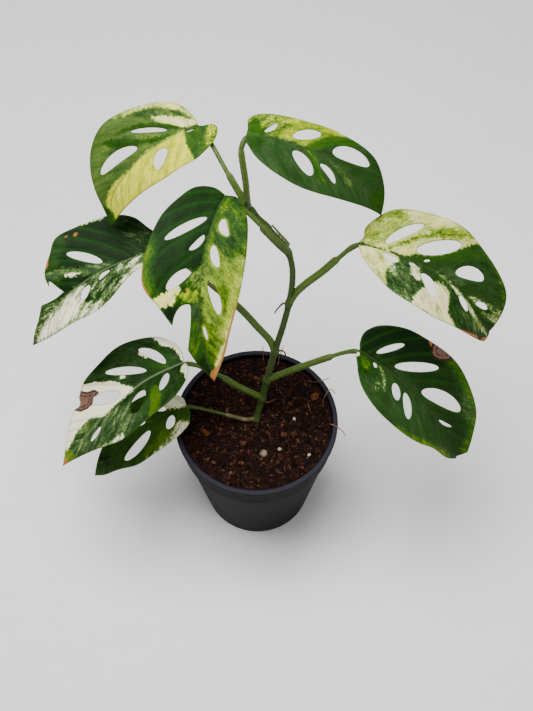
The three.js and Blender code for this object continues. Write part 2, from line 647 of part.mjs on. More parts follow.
// Inner points: three rows along the midrib, and wider spaced rows across each half
function innerPoints(leaf, loops) {
  const found = [];
  const rows = [0, BLADE.ribHalfWidth, -BLADE.ribHalfWidth, ...BLADE.rows];
  for (const row of rows) {
    const ribRow = Math.abs(row) <= BLADE.ribHalfWidth;
    for (let u = BLADE.rowPitch * 0.6; u < leaf.length; u += BLADE.rowPitch) {
      const shift = ribRow ? 0 : Math.abs(row) * 0.4;
      const taper = ribRow ? 1 - (0.6 * u) / leaf.length : 1;
      const point = new THREE.Vector2(u + shift, ribOffset(leaf, u) + row * taper);
      const clear = ribRow ? 0.9 : 3.2;
      const isBlocked = (loop, k) => inside(point, loop) === k > 0 || edgeDistance(point, loop) < clear;
      if (!loops.some(isBlocked)) {
        found.push(point);
      }
    }
  }
  return found;
}

// One triangulation lifted to both faces, with a keel under the midrib, and joined round each loop
function bladeGeometry(leaf) {
  const margin = marginLoop(leaf, BLADE.marginPitch);
  const holes = leaf.holes.map((hole) => holeLoop(hole, hole[4] < BLADE.smallHole ? 6 : 10));
  const loops = [margin, ...holes];
  const points = loops.flat();
  const triangles = THREE.ShapeUtils.triangulateShape(margin, holes);
  const turnsRight = ([a, b, c]) => cross(points[a], points[b], points[c]) < 0;
  const oriented = triangles.map((triangle) => (turnsRight(triangle) ? triangle.reverse() : triangle));
  flipEdges(points, oriented);
  refine(points, oriented, innerPoints(leaf, loops));

  const vertices = [];
  for (const face of [1, -1]) {
    for (const { x: u, y: v } of points) {
      const fromRib = Math.abs(v - ribOffset(leaf, u)) / BLADE.ribHalfWidth;
      const depth = BLADE.ribDepth * (1 - (0.8 * u) / leaf.length);
      const keel = face < 0 && u > 0 ? Math.max(0, 1 - fromRib) * depth : 0;
      const offset = face * (BLADE.thickness / 2 + keel);
      vertices.push(...bladePoint(leaf, u, v).addScaledVector(bladeNormal(leaf, u, v), offset));
    }
  }
  const count = points.length;
  const index = [];
  const sides = new Set();
  for (const [a, b, c] of oriented) {
    index.push(a, b, c, count + a, count + c, count + b);
    [[a, b], [b, c], [c, a]].forEach(([p, q]) => sides.add(`${p},${q}`));
  }
  for (const side of sides) {
    const [a, b] = side.split(',').map(Number);
    if (!sides.has(`${b},${a}`)) {
      index.push(b, a, count + a, b, count + a, count + b);
    }
  }
  const geometry = new THREE.BufferGeometry();
  geometry.setAttribute('position', new THREE.Float32BufferAttribute(vertices, 3));
  geometry.setIndex(index);
  return geometry;
}

// Petiole: wide where it clasps the vine, sheathed up to sheathEnd, thinner above, thick again at the blade
function petioleGeometry(leaf, extra = 0) {
  const { up } = ribFrame(leaf, 0);
  const endTop = PETIOLE.endRadius * PETIOLE.endShare * (1 - PETIOLE.groove);
  const seat = BLADE.thickness / 2 + GAP + endTop;
  const end = new THREE.Vector3(...leaf.at).addScaledVector(up, -seat);
  const curve = smoothCurve([...leaf.petiole, end.toArray()]);
  const length = curve.getLength();
  const scaleAt = (t) => {
    const fromVine = Math.min(1, (t * length) / PETIOLE.claspLength);
    const clasp = THREE.MathUtils.lerp(PETIOLE.baseRadius, PETIOLE.sheathRadius, fromVine);
    const pastSheath = THREE.MathUtils.smoothstep(t, leaf.sheathEnd - 0.02, leaf.sheathEnd + 0.06);
    const atBlade = THREE.MathUtils.smoothstep(t * length, length - 9, length - 2);
    const thin = THREE.MathUtils.lerp(clasp, PETIOLE.neckRadius, pastSheath);
    const radius = THREE.MathUtils.lerp(thin * (leaf.girth ?? 1), PETIOLE.endRadius, atBlade);
    const least = t < 0.5 ? PETIOLE.baseShare : PETIOLE.endShare;
    return radius * endRound(t, length, PETIOLE.endRadius, least) + extra;
  };
  return sweep(roundSection(PETIOLE.sides, PETIOLE.groove), curve, PETIOLE.steps, scaleAt);
}

function thinTube(route, radius, extra = 0) {
  const curve = smoothCurve(route);
  return sweep(roundSection(6), curve, 9, (t) => radius * (1 - 0.35 * t) + extra);
}

function sheathGeometry() {
  const section = new THREE.Shape();
  section.moveTo(-OLD_SHEATH.halfWidth, -OLD_SHEATH.halfThickness);
  section.lineTo(OLD_SHEATH.halfWidth, -OLD_SHEATH.halfThickness);
  section.lineTo(OLD_SHEATH.halfWidth, OLD_SHEATH.halfThickness);
  section.lineTo(-OLD_SHEATH.halfWidth, OLD_SHEATH.halfThickness);
  section.closePath();
  return sweep(section, smoothCurve(OLD_SHEATH.route), 8, (t) => 1 - 0.55 * t * t);
}

// A rough lump that lies in the soil, grown by extra all round
function lumpGeometry([, x, y, sx, sy, sz, turn], extra = 0) {
  const ball = new THREE.IcosahedronGeometry(1, 1);
  const geometry = mergeVertices(ball.deleteAttribute('uv').deleteAttribute('normal'));
  const position = geometry.attributes.position;
  for (let i = 0; i < position.count; i++) {
    const rough = 0.9 + 0.2 * grain(i, sx * 10);
    position.setXYZ(
      i,
      position.getX(i) * (sx * rough + extra),
      position.getY(i) * (sy * rough + extra),
      position.getZ(i) * (sz * rough + extra),
    );
  }
  geometry.rotateZ(radians(turn));
  geometry.translate(x, y, SOIL.level + sz * 0.25);
  return geometry;
}

// Assembly
const plant = new THREE.Group();
plant.add(named('pot', potGeometry(), COLOURS.pot));

const vineClearance = toSolid(stemGeometry(GAP));
let soil = toSolid(soilGeometry()).subtract(vineClearance);
soil = soil.subtract(toSolid(petioleGeometry(LEAVES[0], GAP)));
for (const piece of SOIL_PIECES) {
  soil = soil.subtract(toSolid(lumpGeometry(piece, GAP)));
}
for (const strand of COIR_STRANDS) {
  soil = soil.subtract(toSolid(thinTube(strand, COIR_RADIUS, GAP)));
}
plant.add(named('soil', toGeometry(soil), COLOURS.soil));
plant.add(named('vine', stemGeometry(), COLOURS.vine));

let lowerPetioles = vineClearance;
for (const leaf of LEAVES) {
  leaf.stations = ribStations(leaf);
  const petiole = toSolid(petioleGeometry(leaf)).subtract(lowerPetioles);
  plant.add(named(`petiole_${leaf.name}`, toGeometry(petiole), COLOURS.petiole));
  plant.add(named(`blade_${leaf.name}`, bladeGeometry(leaf), COLOURS.blade));
  lowerPetioles = lowerPetioles.add(toSolid(petioleGeometry(leaf, GAP)));
}

for (const { name, radius, route } of AERIAL_ROOTS) {
  const root = toSolid(thinTube(route, radius)).subtract(lowerPetioles);
  plant.add(named(name, toGeometry(root), COLOURS.root));
}
const sheath = toSolid(sheathGeometry()).subtract(lowerPetioles);
plant.add(named('old_sheath', toGeometry(sheath), COLOURS.sheath));
for (const piece of SOIL_PIECES) {
  plant.add(named(piece[0], lumpGeometry(piece), { color: piece[7], roughness: 0.9 }));
}
COIR_STRANDS.forEach((strand, k) => {
  plant.add(named(`coir_strand_${k + 1}`, thinTube(strand, COIR_RADIUS), COLOURS.strand));
});

export default plant;
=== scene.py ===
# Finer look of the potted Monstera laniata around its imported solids.
# Shapes are worked out in millimetres in the part's own frame and scaled to metres when a mesh is made.
# A blade is drawn flat first: u runs along the midrib from the petiole, v across it, positive to the left.

import math
import random

import bmesh
import bpy
import numpy as np
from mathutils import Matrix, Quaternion, Vector
from mathutils.geometry import delaunay_2d_cdt


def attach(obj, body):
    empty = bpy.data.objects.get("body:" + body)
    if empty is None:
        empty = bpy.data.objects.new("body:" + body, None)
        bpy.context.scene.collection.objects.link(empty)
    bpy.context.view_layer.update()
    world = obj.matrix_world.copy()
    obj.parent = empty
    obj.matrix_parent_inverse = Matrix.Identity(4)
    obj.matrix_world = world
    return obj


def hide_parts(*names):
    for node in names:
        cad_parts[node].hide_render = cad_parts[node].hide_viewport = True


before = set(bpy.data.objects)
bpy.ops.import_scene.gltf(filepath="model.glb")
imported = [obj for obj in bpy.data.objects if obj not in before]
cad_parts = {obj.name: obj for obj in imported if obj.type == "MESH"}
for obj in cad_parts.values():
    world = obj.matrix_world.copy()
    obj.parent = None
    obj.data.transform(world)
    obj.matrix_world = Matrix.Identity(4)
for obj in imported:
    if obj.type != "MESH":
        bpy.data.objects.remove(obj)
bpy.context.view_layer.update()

MM = 0.001
TURN = 2 * math.pi
CURVE_STEPS = 24
TOLERANCE = 1e-5

# Bending of the blades, as in the part's own source, and fineness of the meshes
FOLD_SPAN = 30
WAVES = 2.5
RIB_STEPS = 24
BLADE_PITCH = 0.95
ROW_SHARE = 0.866
EDGE_BULGE = 0.12
PETIOLE_SIDES = 26
VINE_SIDES = 28
POT_SIDES = 144
SOIL_SIDES = 300
SOIL_PITCH = 1.15

# How far apart the leaves and their halves lie in the space of the noise
LEAF_APART = 160.0
HALF_APART = 80.0

# Leaves from the lowest to the highest, with the values of the part's own source
LEAVES = [
    {"name": "low_left", "length": 94, "at": [-51, 5, 127], "yaw": 200, "pitch": -13, "roll": 0,
     "droop": 38, "bend": 11, "twist": 0, "fold": [6, 6], "curl": [14, 14], "rib": [0, 0, 1, 0],
     "wave": 0.8, "wave_phase": 0.4,
     "petiole": [[0, 3, 111], [-8, 0.8, 113.4], [-15, 1.6, 115.4], [-27, 3.2, 118.8], [-36, 4, 122],
      [-44, 4.7, 124.3]], "sheath_end": 0.45, "girth": 0.72,
     "left": [[[0, 0], [-1, 6], [3, 15], [14, 20], [36, 22], [52, 21], [70, 13], [84, 7], [94, 0]]],
     "right": [[[0, 0], [0, -6], [4, -11], [12, -18], [24, -23], [40, -24], [56, -20], [74, -11], [86, -5],
      [94, 0]]],
     "holes": [[12, 2.5, 19, 11, 7, 0.6], [32, 4.5, 61, 11, 8.5, 1.8], [15, -4, 25, -15, 5, 0.4],
      [33, -4, 54, -15, 7, -0.6]]},
    {"name": "front_left", "length": 119, "at": [-50, 17, 168], "yaw": 203, "pitch": -7, "roll": 6,
     "droop": 39, "bend": 19, "twist": -2, "fold": [19, 12], "curl": [8, 6], "rib": [-1.5, 0.5, 2, 0],
     "wave": 1, "wave_phase": 2.1,
     "petiole": [[4.1, 11.9, 126], [-3, 11.6, 134], [-12, 12.5, 141], [-26, 15.5, 152.5],
      [-38, 17.2, 160.5], [-45, 17.6, 164.3]], "sheath_end": 0.55, "girth": 0.92,
     "left": [[[0, 0], [-1, 7], [1, 13], [5, 20], [14, 27], [32, 32], [52, 34], [66, 30], [81, 22],
      [98, 12], [110, 5], [119, 0]]],
     "right": [[[0, 0], [-1, -6], [-1, -12], [2, -19], [10, -28], [27, -34], [41, -36], [54, -34],
      [66, -30], [75, -23]], [[75, -23], [76.5, -19.5], [79, -18], [82, -19]], [[82, -19], [90, -16],
      [102, -9], [112, -3], [119, 0]]],
     "holes": [[12, -5.5, 24, -25, 6.5, -1.2], [26, -7.5, 51, -25, 6, 0], [50, -3.5, 69, -13, 8.4, -0.6],
      [14, 3, 23, 16, 6.4, 0.4], [34, 6, 47, 21, 10.6, -0.8], [74, 7, 86, 10, 4.5, 0.5]]},
    {"name": "low_right", "length": 111, "at": [71, 14, 188], "yaw": -30, "pitch": -12, "roll": 5,
     "droop": 49, "bend": -9, "twist": 1, "fold": [33, 27], "curl": [3, 11], "rib": [0, -0.5, -0.5, -1],
     "wave": 0.9, "wave_phase": 1.2,
     "petiole": [[7.8, 17.8, 142], [13, 17.6, 147], [31, 18.3, 159.5], [53, 18.1, 174.5],
      [64.5, 16.6, 182.8]], "sheath_end": 0.72, "girth": 0.92,
     "left": [[[0, 0], [-3, 5], [-4, 12], [-1, 18], [4, 23], [18, 31], [33, 34], [51, 35], [66, 33],
      [82, 27], [99, 16], [111, 8]], [[111, 8], [111, 3], [110, -3]]],
     "right": [[[0, 0], [-1, -5], [2, -11], [7, -20], [14, -28], [31, -36], [51, -34], [67, -29],
      [80, -21], [98, -13], [110, -3]]],
     "holes": [[10, 5, 21, 21, 4.4, 0], [25, 5, 46, 24, 6.8, -0.4], [50, 5, 78, 17, 10.4, 1.4],
      [75, 1.5, 85, 6, 2.4, -0.6], [32, -5.5, 38, -17.5, 7.3, 0], [41.5, -6, 52, -22, 7.8, 0.3],
      [12.5, -1.5, 15, -6, 3, 0]]},
    {"name": "mid_left", "length": 118, "at": [-61, 69, 228], "yaw": 194, "pitch": 8, "roll": 0,
     "droop": 58, "bend": 32, "twist": -2, "fold": [21, 20], "curl": [8, 0], "rib": [1, 0, -1, 0],
     "wave": 0.9, "wave_phase": 3,
     "petiole": [[13.4, 26.9, 167], [10, 31, 173.5], [1.5, 36.5, 182], [-11, 44.5, 194], [-28, 53, 206],
      [-44.5, 61.5, 217.5]], "sheath_end": 0.5,
     "left": [[[0, 0], [-2, 5], [3, 9], [14, 12], [24, 16], [33, 22], [46, 30], [61, 31], [78, 25],
      [96, 16], [108, 8], [118, 0]]],
     "right": [[[0, 0], [-1, -5], [2, -11], [8, -18], [15, -27], [29, -33], [46, -36], [58, -36],
      [66, -29], [76, -21], [79, -13]], [[79, -13], [76.5, -16], [75, -9], [74, -4]], [[74, -4],
      [80, -4.5], [86, -6.5], [91, -9]], [[91, -9], [100, -5], [110, -2.5], [118, 0]]],
     "holes": [[42, -5, 58, -23, 5.8, 0], [40, 4, 49, 7.5, 4.4, -0.9], [57, 6, 65, 15, 6.8, -0.6]]},
    {"name": "right", "length": 122, "at": [66, 52, 257], "yaw": -10, "pitch": 0, "roll": 9, "droop": 64,
     "bend": -17, "twist": 4, "fold": [27, 18], "curl": [2, 10], "rib": [-2, -1, -1, -5], "wave": 0.9,
     "wave_phase": 0.2,
     "petiole": [[22.7, 41, 206], [27, 43.5, 213.5], [33.5, 45.3, 221.5], [44.7, 47.9, 232.5],
      [55.2, 50.4, 245], [61.5, 51.8, 252]], "sheath_end": 0.74,
     "left": [[[0, 0], [3, 5], [3, 10], [6, 15], [16, 25], [29, 30], [52, 33], [68, 30], [85, 27],
      [101, 22], [109, 16], [117, 5], [120, -2]], [[120, -2], [119, -7], [117, -11]]],
     "right": [[[0, 0], [3, -8], [7, -15], [14, -22], [26, -30], [41, -34], [60, -33], [82, -27],
      [94, -23], [109, -16], [117, -11]]],
     "holes": [[17, 4, 35, 23, 6, 0.4], [37, 6, 59, 23, 9, -0.7], [44, 2, 47.5, 4.2, 1.7, 0],
      [66, 7, 84, 16, 8.8, 1.4], [92, 2, 102, 5.5, 4, 0.4], [17, -3.8, 28, -6.5, 5.6, -1.3],
      [35, -4, 37, -6, 1.5, 0], [45, -8, 58, -20, 9, 1.3], [77, -4.5, 88, -9, 6.2, 0.3]]},
    {"name": "centre", "length": 123, "at": [-18, 66, 287], "yaw": 242, "pitch": -5, "roll": -7,
     "droop": 54, "bend": 53, "twist": 0, "fold": [8, 12], "curl": [14, 10], "rib": [1, 0, -2.5, 0],
     "wave": 0.8, "wave_phase": 4.2,
     "petiole": [[21.4, 54.4, 245], [15.5, 52.6, 256], [7, 54.6, 267], [-1, 58, 275.5], [-8.5, 62, 281],
      [-14.5, 65, 284]], "sheath_end": 0.5,
     "left": [[[0, 0], [-2, 5], [-1, 10], [4, 15], [11, 20], [29, 25], [49, 26], [71, 23], [93, 16],
      [108, 10], [123, 0]]],
     "right": [[[0, 0], [-1, -6], [0, -11], [5, -19], [15, -25], [27, -31], [40, -34], [55, -36],
      [63, -35], [73, -26], [83, -19]], [[83, -19], [78, -17], [73, -12.5], [72.5, -7], [80, -7], [89, -9],
      [98, -12]], [[98, -12], [108, -8], [116, -3.5], [123, 0]]],
     "holes": [[19, -4, 38, -25, 5.3, 0.4], [30, -2, 41, -9, 3.8, 0.9], [52, -6, 64, -21, 6.4, -0.5],
      [16, 6, 27, 12, 5.8, -1.4], [35, 5, 49, 10, 5.4, -0.5], [58, 5, 80, 11, 6, 0.9],
      [86, 0.5, 95, 1.5, 2, 0]]},
    {"name": "top_left", "length": 98, "at": [-36, 108, 305], "yaw": 187, "pitch": -8, "roll": -15,
     "droop": 60, "bend": 50, "twist": 0, "fold": [10, 22], "curl": [12, 4], "rib": [2, 1, -0.5, 4],
     "wave": 0.8, "wave_phase": 5.1,
     "petiole": [[-4, 66.2, 275.5], [-9, 70.4, 282.5], [-18.6, 82.7, 293.5], [-26.8, 96.3, 300],
      [-33, 105.5, 302.8]], "sheath_end": 0.4, "girth": 0.9,
     "left": [[[0, 0], [-4, 0.5], [-9, 0.5], [-12, 4], [-10, 12], [-4, 18], [4, 23], [21, 25], [41, 23],
      [61, 17], [80, 10], [97, 4]]],
     "right": [[[0, 0], [0, -3], [3, -9], [8, -16], [16, -21], [35, -28], [46, -30], [57, -27], [66, -21],
      [75, -13], [86, -3], [97, 4]]],
     "holes": [[19, -3.5, 37, -15, 3, 0.2], [40, -5, 66, -13, 7.1, -1.2], [24, 8, 38, 15.5, 8.6, -1],
      [2, 1.8, 8, 2.6, 1.6, 0]]},
    {"name": "top_right", "length": 106, "at": [-5, 83, 322], "yaw": -1, "pitch": -2, "roll": 4,
     "droop": 56, "bend": -26, "twist": 4, "fold": [4, 3], "curl": [16, 18], "rib": [1.5, 0, 0.5, 0],
     "wave": 0.8, "wave_phase": 2.6,
     "petiole": [[-4, 66.2, 275.5], [-4.6, 64.6, 283], [-4.9, 65.2, 290], [-5.6, 68.2, 299],
      [-7.4, 74.2, 311], [-7.8, 77.6, 316.5], [-6, 81.6, 319.5]], "sheath_end": 0.82, "girth": 0.88,
     "left": [[[0, 0], [1, 5], [1, 12], [4, 16], [12, 19], [34, 20], [54, 24], [76, 25], [84, 23],
      [97, 13], [106, 0]]],
     "right": [[[0, 0], [0, -4], [2, -8], [6, -14], [12, -19], [22, -24], [36, -26], [54, -24], [66, -20],
      [79, -14], [96, -5], [106, 0]]],
     "holes": [[11, 4, 18, 12, 3.2, -0.6], [28, 5, 44, 15.5, 7.1, 0], [54, 7, 79, 17, 10.8, 1.6],
      [30, -5, 46, -15.5, 9, 0.3], [49, -5.5, 63, -11.5, 5, 1.1]]},
]

# Markings of each blade in its flat drawing. The ground and each patch give the tone's level from dark green
# at 0 to cream at 1, how strongly it is mottled, and its warmth from grey green to yellow. A patch adds how
# soft its edge is and its outline. Scorch and blush hold outlines of dead and pink spots, rims tells which
# side's holes have pale edges, and pale_rib how pale the midrib is.
MARKS = {
    "low_left": {"ground": (0.465, 0.09, 0.7), "patches": [
        (0.52, 0.1, 1, 1.2, [[10, 7], [18, 13], [23, 18], [36, 21], [44, 18], [30, 12], [20, 8]]),
        (0.66, 0.55, 0.2, 1, [[8, 9], [18, 14], [24, 18], [34, 20], [44, 21.5], [42, 26], [14, 24],
         [0, 16]]),
        (0.92, 0.25, 0.1, 0.6, [[4, 14], [14, 19], [26, 21], [38, 22], [38, 26], [14, 25], [2, 18]]),
        (0.95, 0.03, 0.1, 0.4, [[17, -6], [11, -12], [3, -12], [-3, -1], [2, 1], [11, -3]]),
        (0.3, 0.4, 0.9, 3, [[80, -12], [68, -5], [75, 4], [87, -4]])]},
    "front_left": {"ground": (0.345, 0.24, 0.2), "pale_rib": 1, "patches": [
        (0.36, 0.26, 0.1, 3, [[50, -38], [36, -40], [20, -36], [13, -28], [18, -24], [30, -29], [44, -27]]),
        (0.51, 0.05, 1, 0.6, [[24, 8], [23, 16], [26, 24], [31, 33], [38, 32], [33, 22], [31, 13], [27, 8]]),
        (0.36, 0.14, 0.95, 2, [[8, -3], [6, -14], [12, -22], [22, -16], [24, -4]]),
        (0.47, 0.34, 0, 2, [[67, 2], [54, 4], [46, 9], [40, 24], [56, 32], [82, 23], [96, 11], [84, 6]]),
        (0.14, 0.1, 0.3, 1, [[45, 9], [40, 15], [43, 22], [49, 17]]),
        (0.46, 0.34, 0.1, 1.5, [[90, -8], [78, -7], [71, -2], [72, 3], [86, 7], [98, 8], [112, 2],
         [104, -6]]),
        (0.98, 0.03, 0.1, 0.4, [[70, -38], [67, -29], [60, -24], [51, -17], [47, -13], [44, -7], [39, -1],
         [45, 0.4], [56, 0.8], [64, 1.4], [69, 1.8], [73, -2], [78, -5], [85, -6.5], [91, -6], [98, -5],
         [106, -3], [117, -1], [112, -14], [96, -28]]),
        (0.95, 0.08, 0.1, 0.5, [[16, -34], [8, -36], [-4, -26], [-7, -10], [-2, 1], [1, -1], [2, -10],
         [6, -16], [9, -19], [11, -25]]),
        (0.96, 0.05, 0.1, 0.4, [[2, 3], [-2, -1], [-4, 11], [3, 23], [4.5, 20], [3.5, 12], [5, 8]]),
        (0.9, 0.15, 0.1, 0.5, [[46, -14], [41, -15.2], [40.5, -13], [44, -12]]),
        (0.9, 0.15, 0.1, 0.5, [[26, -21.5], [22, -15.5], [20.5, -17], [24, -23]]),
        (0.8, 0.45, 0.1, 1.2, [[80, 22], [70, 25], [60, 28], [64, 33], [80, 27]]),
        (0.58, 0.1, 1, 2, [[110, -6], [105, -1], [104, 8], [117, 6], [124, -3]])],
        "scorch": [[[72, -30], [69, -22.5], [63, -19], [62, -15], [67, -15], [70, -12.5], [75, -12],
         [80, -14.5], [84, -20], [80, -28]]],
        "blush": [[[66, -31], [67, -28], [70, -28], [70, -32]], [[113, -5], [112, 1], [118, 4], [124, -2]]]},
    "low_right": {"ground": (0.29, 0.08, 0.22), "patches": [
        (0.16, 0.06, 0.3, 4, [[1, 2], [-4, 13], [6, 27], [27, 36], [44, 37], [42, 21], [23, 12], [12, 6]]),
        (0.41, 0.14, 0.15, 6, [[14, -4], [29, 3], [78, 3], [110, -2], [79, -26], [41, -36], [12, -30]]),
        (0.475, 0.12, 1, 2.6, [[46, 31], [52, 38], [72, 36], [104, 17], [113, 8], [108, 3], [94, 14],
         [74, 25], [58, 29]]),
        (0.5, 0.25, 0.2, 2.5, [[68, 24], [74, 28], [90, 21], [83, 17]]),
        (0.57, 0.1, 1, 2.2, [[44, -34], [62, -28], [88, -14], [101, -8], [104, -14], [82, -30], [54, -40]]),
        (0.38, 0.35, 0.9, 2, [[3, -2], [2, -12], [8, -18], [12, -10], [12, -3]]),
        (0.52, 0.55, 0.2, 0.8, [[15, -4], [17, -1], [21, -3], [28, -19], [25, -18], [20, -6]]),
        (0.44, 0.6, 0.2, 0.8, [[16, -10], [19, -12], [24, -24], [21, -24]]),
        (0.9, 0.1, 0.2, 0.6, [[-3, -9], [-2, -2], [1, -3], [0, -9]])],
        "scorch": [[[33, 33], [35, 38], [44, 38], [47, 34], [45, 30], [41, 27], [37, 27.5]]],
        "blush": [[[30.5, 33], [32, 38], [35, 38], [34.8, 33], [33.5, 31]]]},
    "mid_left": {"ground": (0.2, 0.14, 0.15), "pale_rib": 0.6, "patches": [
        (0.33, 0.4, 0, 4, [[32, -34], [14, -30], [3, -16], [8, -2], [22, -4], [26, -18]]),
        (0.12, 0.08, 0.2, 2.5, [[36, -26], [20, -24], [12, -16], [22, -20]]),
        (0.33, 0.12, 0.5, 2.5, [[56, -38], [54, -29], [64, -22], [72, -10], [78, -14], [82, -24],
         [70, -34]]),
        (0.5, 0.3, 0.05, 1.6, [[78, -24], [67, -18], [57, -11], [46, -6], [35, -1], [48, -0.5], [59, -5],
         [68, -12], [78, -17]]),
        (0.88, 0.35, 0, 0.7, [[67, -12], [60, -9], [58, -6], [65, -8.5]]),
        (0.9, 0.2, 0, 0.5, [[43, -39], [36, -39], [29, -36], [30, -32], [37, -33.5], [43, -35]]),
        (0.43, 0.45, 0.1, 1.2, [[84, -9], [79, -3], [89, -0.5], [102, -1], [116, 0], [99, -9]]),
        (0.44, 0.55, 0, 2, [[60, 2], [48, 0], [33, 1], [16, 3], [12, 12], [31, 30], [55, 40], [58, 25]]),
        (0.64, 0.5, 0, 2, [[36, 5], [27, 2], [12, 0], [8, 12], [26, 24], [46, 38], [52, 40], [36, 26]]),
        (0.72, 0.46, 0, 2, [[66, -1], [59, 3], [61, 10], [64, 17], [57, 24], [48, 34], [86, 34], [122, 5],
         [110, 0], [90, -1]]),
        (0.88, 0.3, 0.03, 1.5, [[70, 8], [84, 5], [98, 3], [112, 2], [100, 12], [84, 20], [72, 22]])],
        "blush": [[[50, -31.2], [49, -32.5], [47.3, -32.5], [46.4, -31.2], [47.3, -30], [49, -30]],
         [[54, -33.5], [53.2, -34.3], [52.3, -33.9], [52, -33], [52.7, -32.5], [53.6, -32.8]], [[66, -30],
         [72, -23], [75, -26], [69, -33]]]},
    "right": {"ground": (0.36, 0.14, 0.35), "patches": [
        (0.4, 0.08, 0.8, 2, [[31, -1], [39, 4], [56, 15], [64, 26], [74, 26], [60, 12], [46, 2]]),
        (0.47, 0.18, 0.15, 1.5, [[52, 0], [62, 6], [73, 9], [76, 4], [63, 0]]),
        (0.48, 0.25, 0.95, 1.6, [[70, 28], [79, 36], [104, 28], [114, 16], [106, 16], [90, 24], [78, 27]]),
        (0.52, 0.55, 0.4, 1.6, [[84, 1], [98, 10], [112, 13], [115, 5], [100, 1]]),
        (0.78, 0.12, 0.62, 0.5, [[-4, 2], [-2, 17], [9, 30], [33, 42], [59, 42], [82, 35], [79, 31],
         [68, 30], [63, 25], [56, 15], [46, 7], [39, 4], [31, -0.5], [23, -0.5], [11, 0]]),
        (0.68, 0.2, 0.75, 3, [[1, 3], [2, 17], [10, 27], [24, 26], [21, 16], [16, 7], [9, 1]]),
        (0.53, 0.15, 0.9, 1, [[20, 1.5], [28, 9], [37, 17], [53, 26], [46, 21], [36, 14.5], [27, 6]]),
        (0.58, 0.3, 0.9, 3, [[40, 22], [52, 29], [66, 33], [60, 28], [48, 22]]),
        (0.8, 0.2, 0.55, 0.8, [[-3, -2], [11, -1], [23, -1.5], [29, -6], [24, -15], [21, -19], [24, -27],
         [20, -32], [0, -20]]),
        (0.46, 0.42, 0.05, 1.2, [[21, -16], [28, -7], [36, -2], [46, -5], [47, -17], [43, -26], [42, -36],
         [31, -37], [24, -27]]),
        (0.85, 0.25, 0.2, 0.6, [[35, -3], [42, -5], [45, -14], [39, -14]]),
        (0.86, 0.28, 0.4, 1.2, [[42, -29], [47, -19], [56, -8], [64, -6], [70, -10], [71, -17], [72, -22],
         [84, -26], [80, -34], [44, -37]]),
        (0.34, 0.36, 0.3, 1.2, [[68, -5], [77, -7], [91, -6], [110, -8], [114, -16], [90, -28], [78, -24],
         [72, -17]]),
        (0.46, 0.35, 0.2, 1.5, [[84, -9], [96, -8], [108, -9], [104, -14], [90, -15]]),
        (0.72, 0.4, 0.35, 1, [[56, 0], [69, -0.5], [84, -2], [98, -5], [119, -4], [109, -9], [90, -8],
         [71, -5]])],
        "blush": [[[82, -27.5], [94, -21.5], [108, -15], [110, -20], [90, -32]], [[112, -12.5], [119, -5],
         [127, -5], [114, -19]]]},
    "centre": {"ground": (0.24, 0.08, 0.85), "rims": 1, "patches": [
        (0.54, 0.1, 1, 4, [[45, -40], [38, -34], [44, -31], [57, -31], [67, -28], [70, -34], [57, -42]]),
        (0.36, 0.35, 1, 1.2, [[61, -14], [55, -3], [62, 2], [71, -1], [72, -12], [72, -18]]),
        (0.56, 0.4, 0.6, 1, [[56, -7], [49, 0], [60, 1], [63, -4]]),
        (0.66, 0.3, 1, 0.8, [[67, -14], [64, -6], [65, -1], [72, -3], [71, -10]]),
        (0.94, 0.08, 0.7, 0.4, [[70, -33], [65, -21], [61, -14], [64, -12.5], [68, -16], [72, -17],
         [76, -24], [76, -32]]),
        (0.14, 0.08, 0.3, 0.6, [[72, -19], [77, -17], [84, -20], [86, -27], [76, -27]]),
        (0.42, 0.22, 0.15, 1.5, [[72, -7], [71, -1], [85, -2], [87, -7]]),
        (0.44, 0.26, 0.9, 1.5, [[80, -9], [83, -2], [100, -2], [106, -8], [95, -14]]),
        (0.4, 0.34, 0.85, 1.5, [[0, 1], [-4, 10], [12, 24], [44, 30], [46, 14], [42, 1], [22, 1]]),
        (0.5, 0.25, 1, 1.5, [[4, 0], [1, 3], [12, 5], [32, 5], [46, 3], [46, 0.5], [26, 0.5]]),
        (0.615, 0.18, 0.72, 2.5, [[46, 1], [42, 14], [40, 30], [72, 28], [99, 17], [122, 4], [104, 1],
         [86, 0], [70, 0]]),
        (0.47, 0.28, 0.95, 2, [[58, 14], [66, 17], [80, 14], [76, 9], [62, 10]]),
        (0.48, 0.25, 1, 1.8, [[84, 0], [86, 6], [103, 6], [116, 1], [102, -2]]),
        (0.73, 0.16, 0.85, 2.5, [[52, 20], [66, 18], [84, 14], [96, 10], [98, 20], [60, 30]]),
        (0.88, 0.1, 0.75, 1.2, [[70, 24], [84, 18], [98, 12], [112, 3], [124, 2], [102, 19], [74, 28]])],
        "blush": [[[50, -38], [51, -35.6], [60, -35.2], [70, -29.6], [70, -34]], [[64, -10], [62.5, -8.5],
         [64, -7.5], [65, -9]], [[72, 21.6], [84, 17.6], [99, 12], [112, 5], [117, -2], [128, -2],
         [100, 24], [74, 27]], [[22, 27], [28, 27], [28, 25.3], [22, 24.8]]]},
    "top_left": {"ground": (0.55, 0.08, 0.38), "patches": [
        (0.62, 0.2, 0.4, 1.5, [[36, -11], [29, -8], [22, -1], [29, -1], [36, -7]]),
        (0.56, 0.25, 0.3, 2.5, [[44, -14], [60, -14], [66, -8], [58, -6], [46, -9]]),
        (0.82, 0.24, 0.75, 1, [[42, -32], [25, -30], [12, -25], [2, -18], [-3, -9], [-4, 0], [1, -1],
         [6, -9], [13, -15], [22, -20], [34, -25]]),
        (0.53, 0.22, 0.3, 0.9, [[32, -24], [22, -20], [13, -14], [6, -9], [2, -3], [9, -8], [16, -13],
         [25, -17]]),
        (0.9, 0.12, 0.6, 0.7, [[23, -15], [14, -11], [6, -6], [-1, -1], [7, -0.5], [16, -6], [22, -11]]),
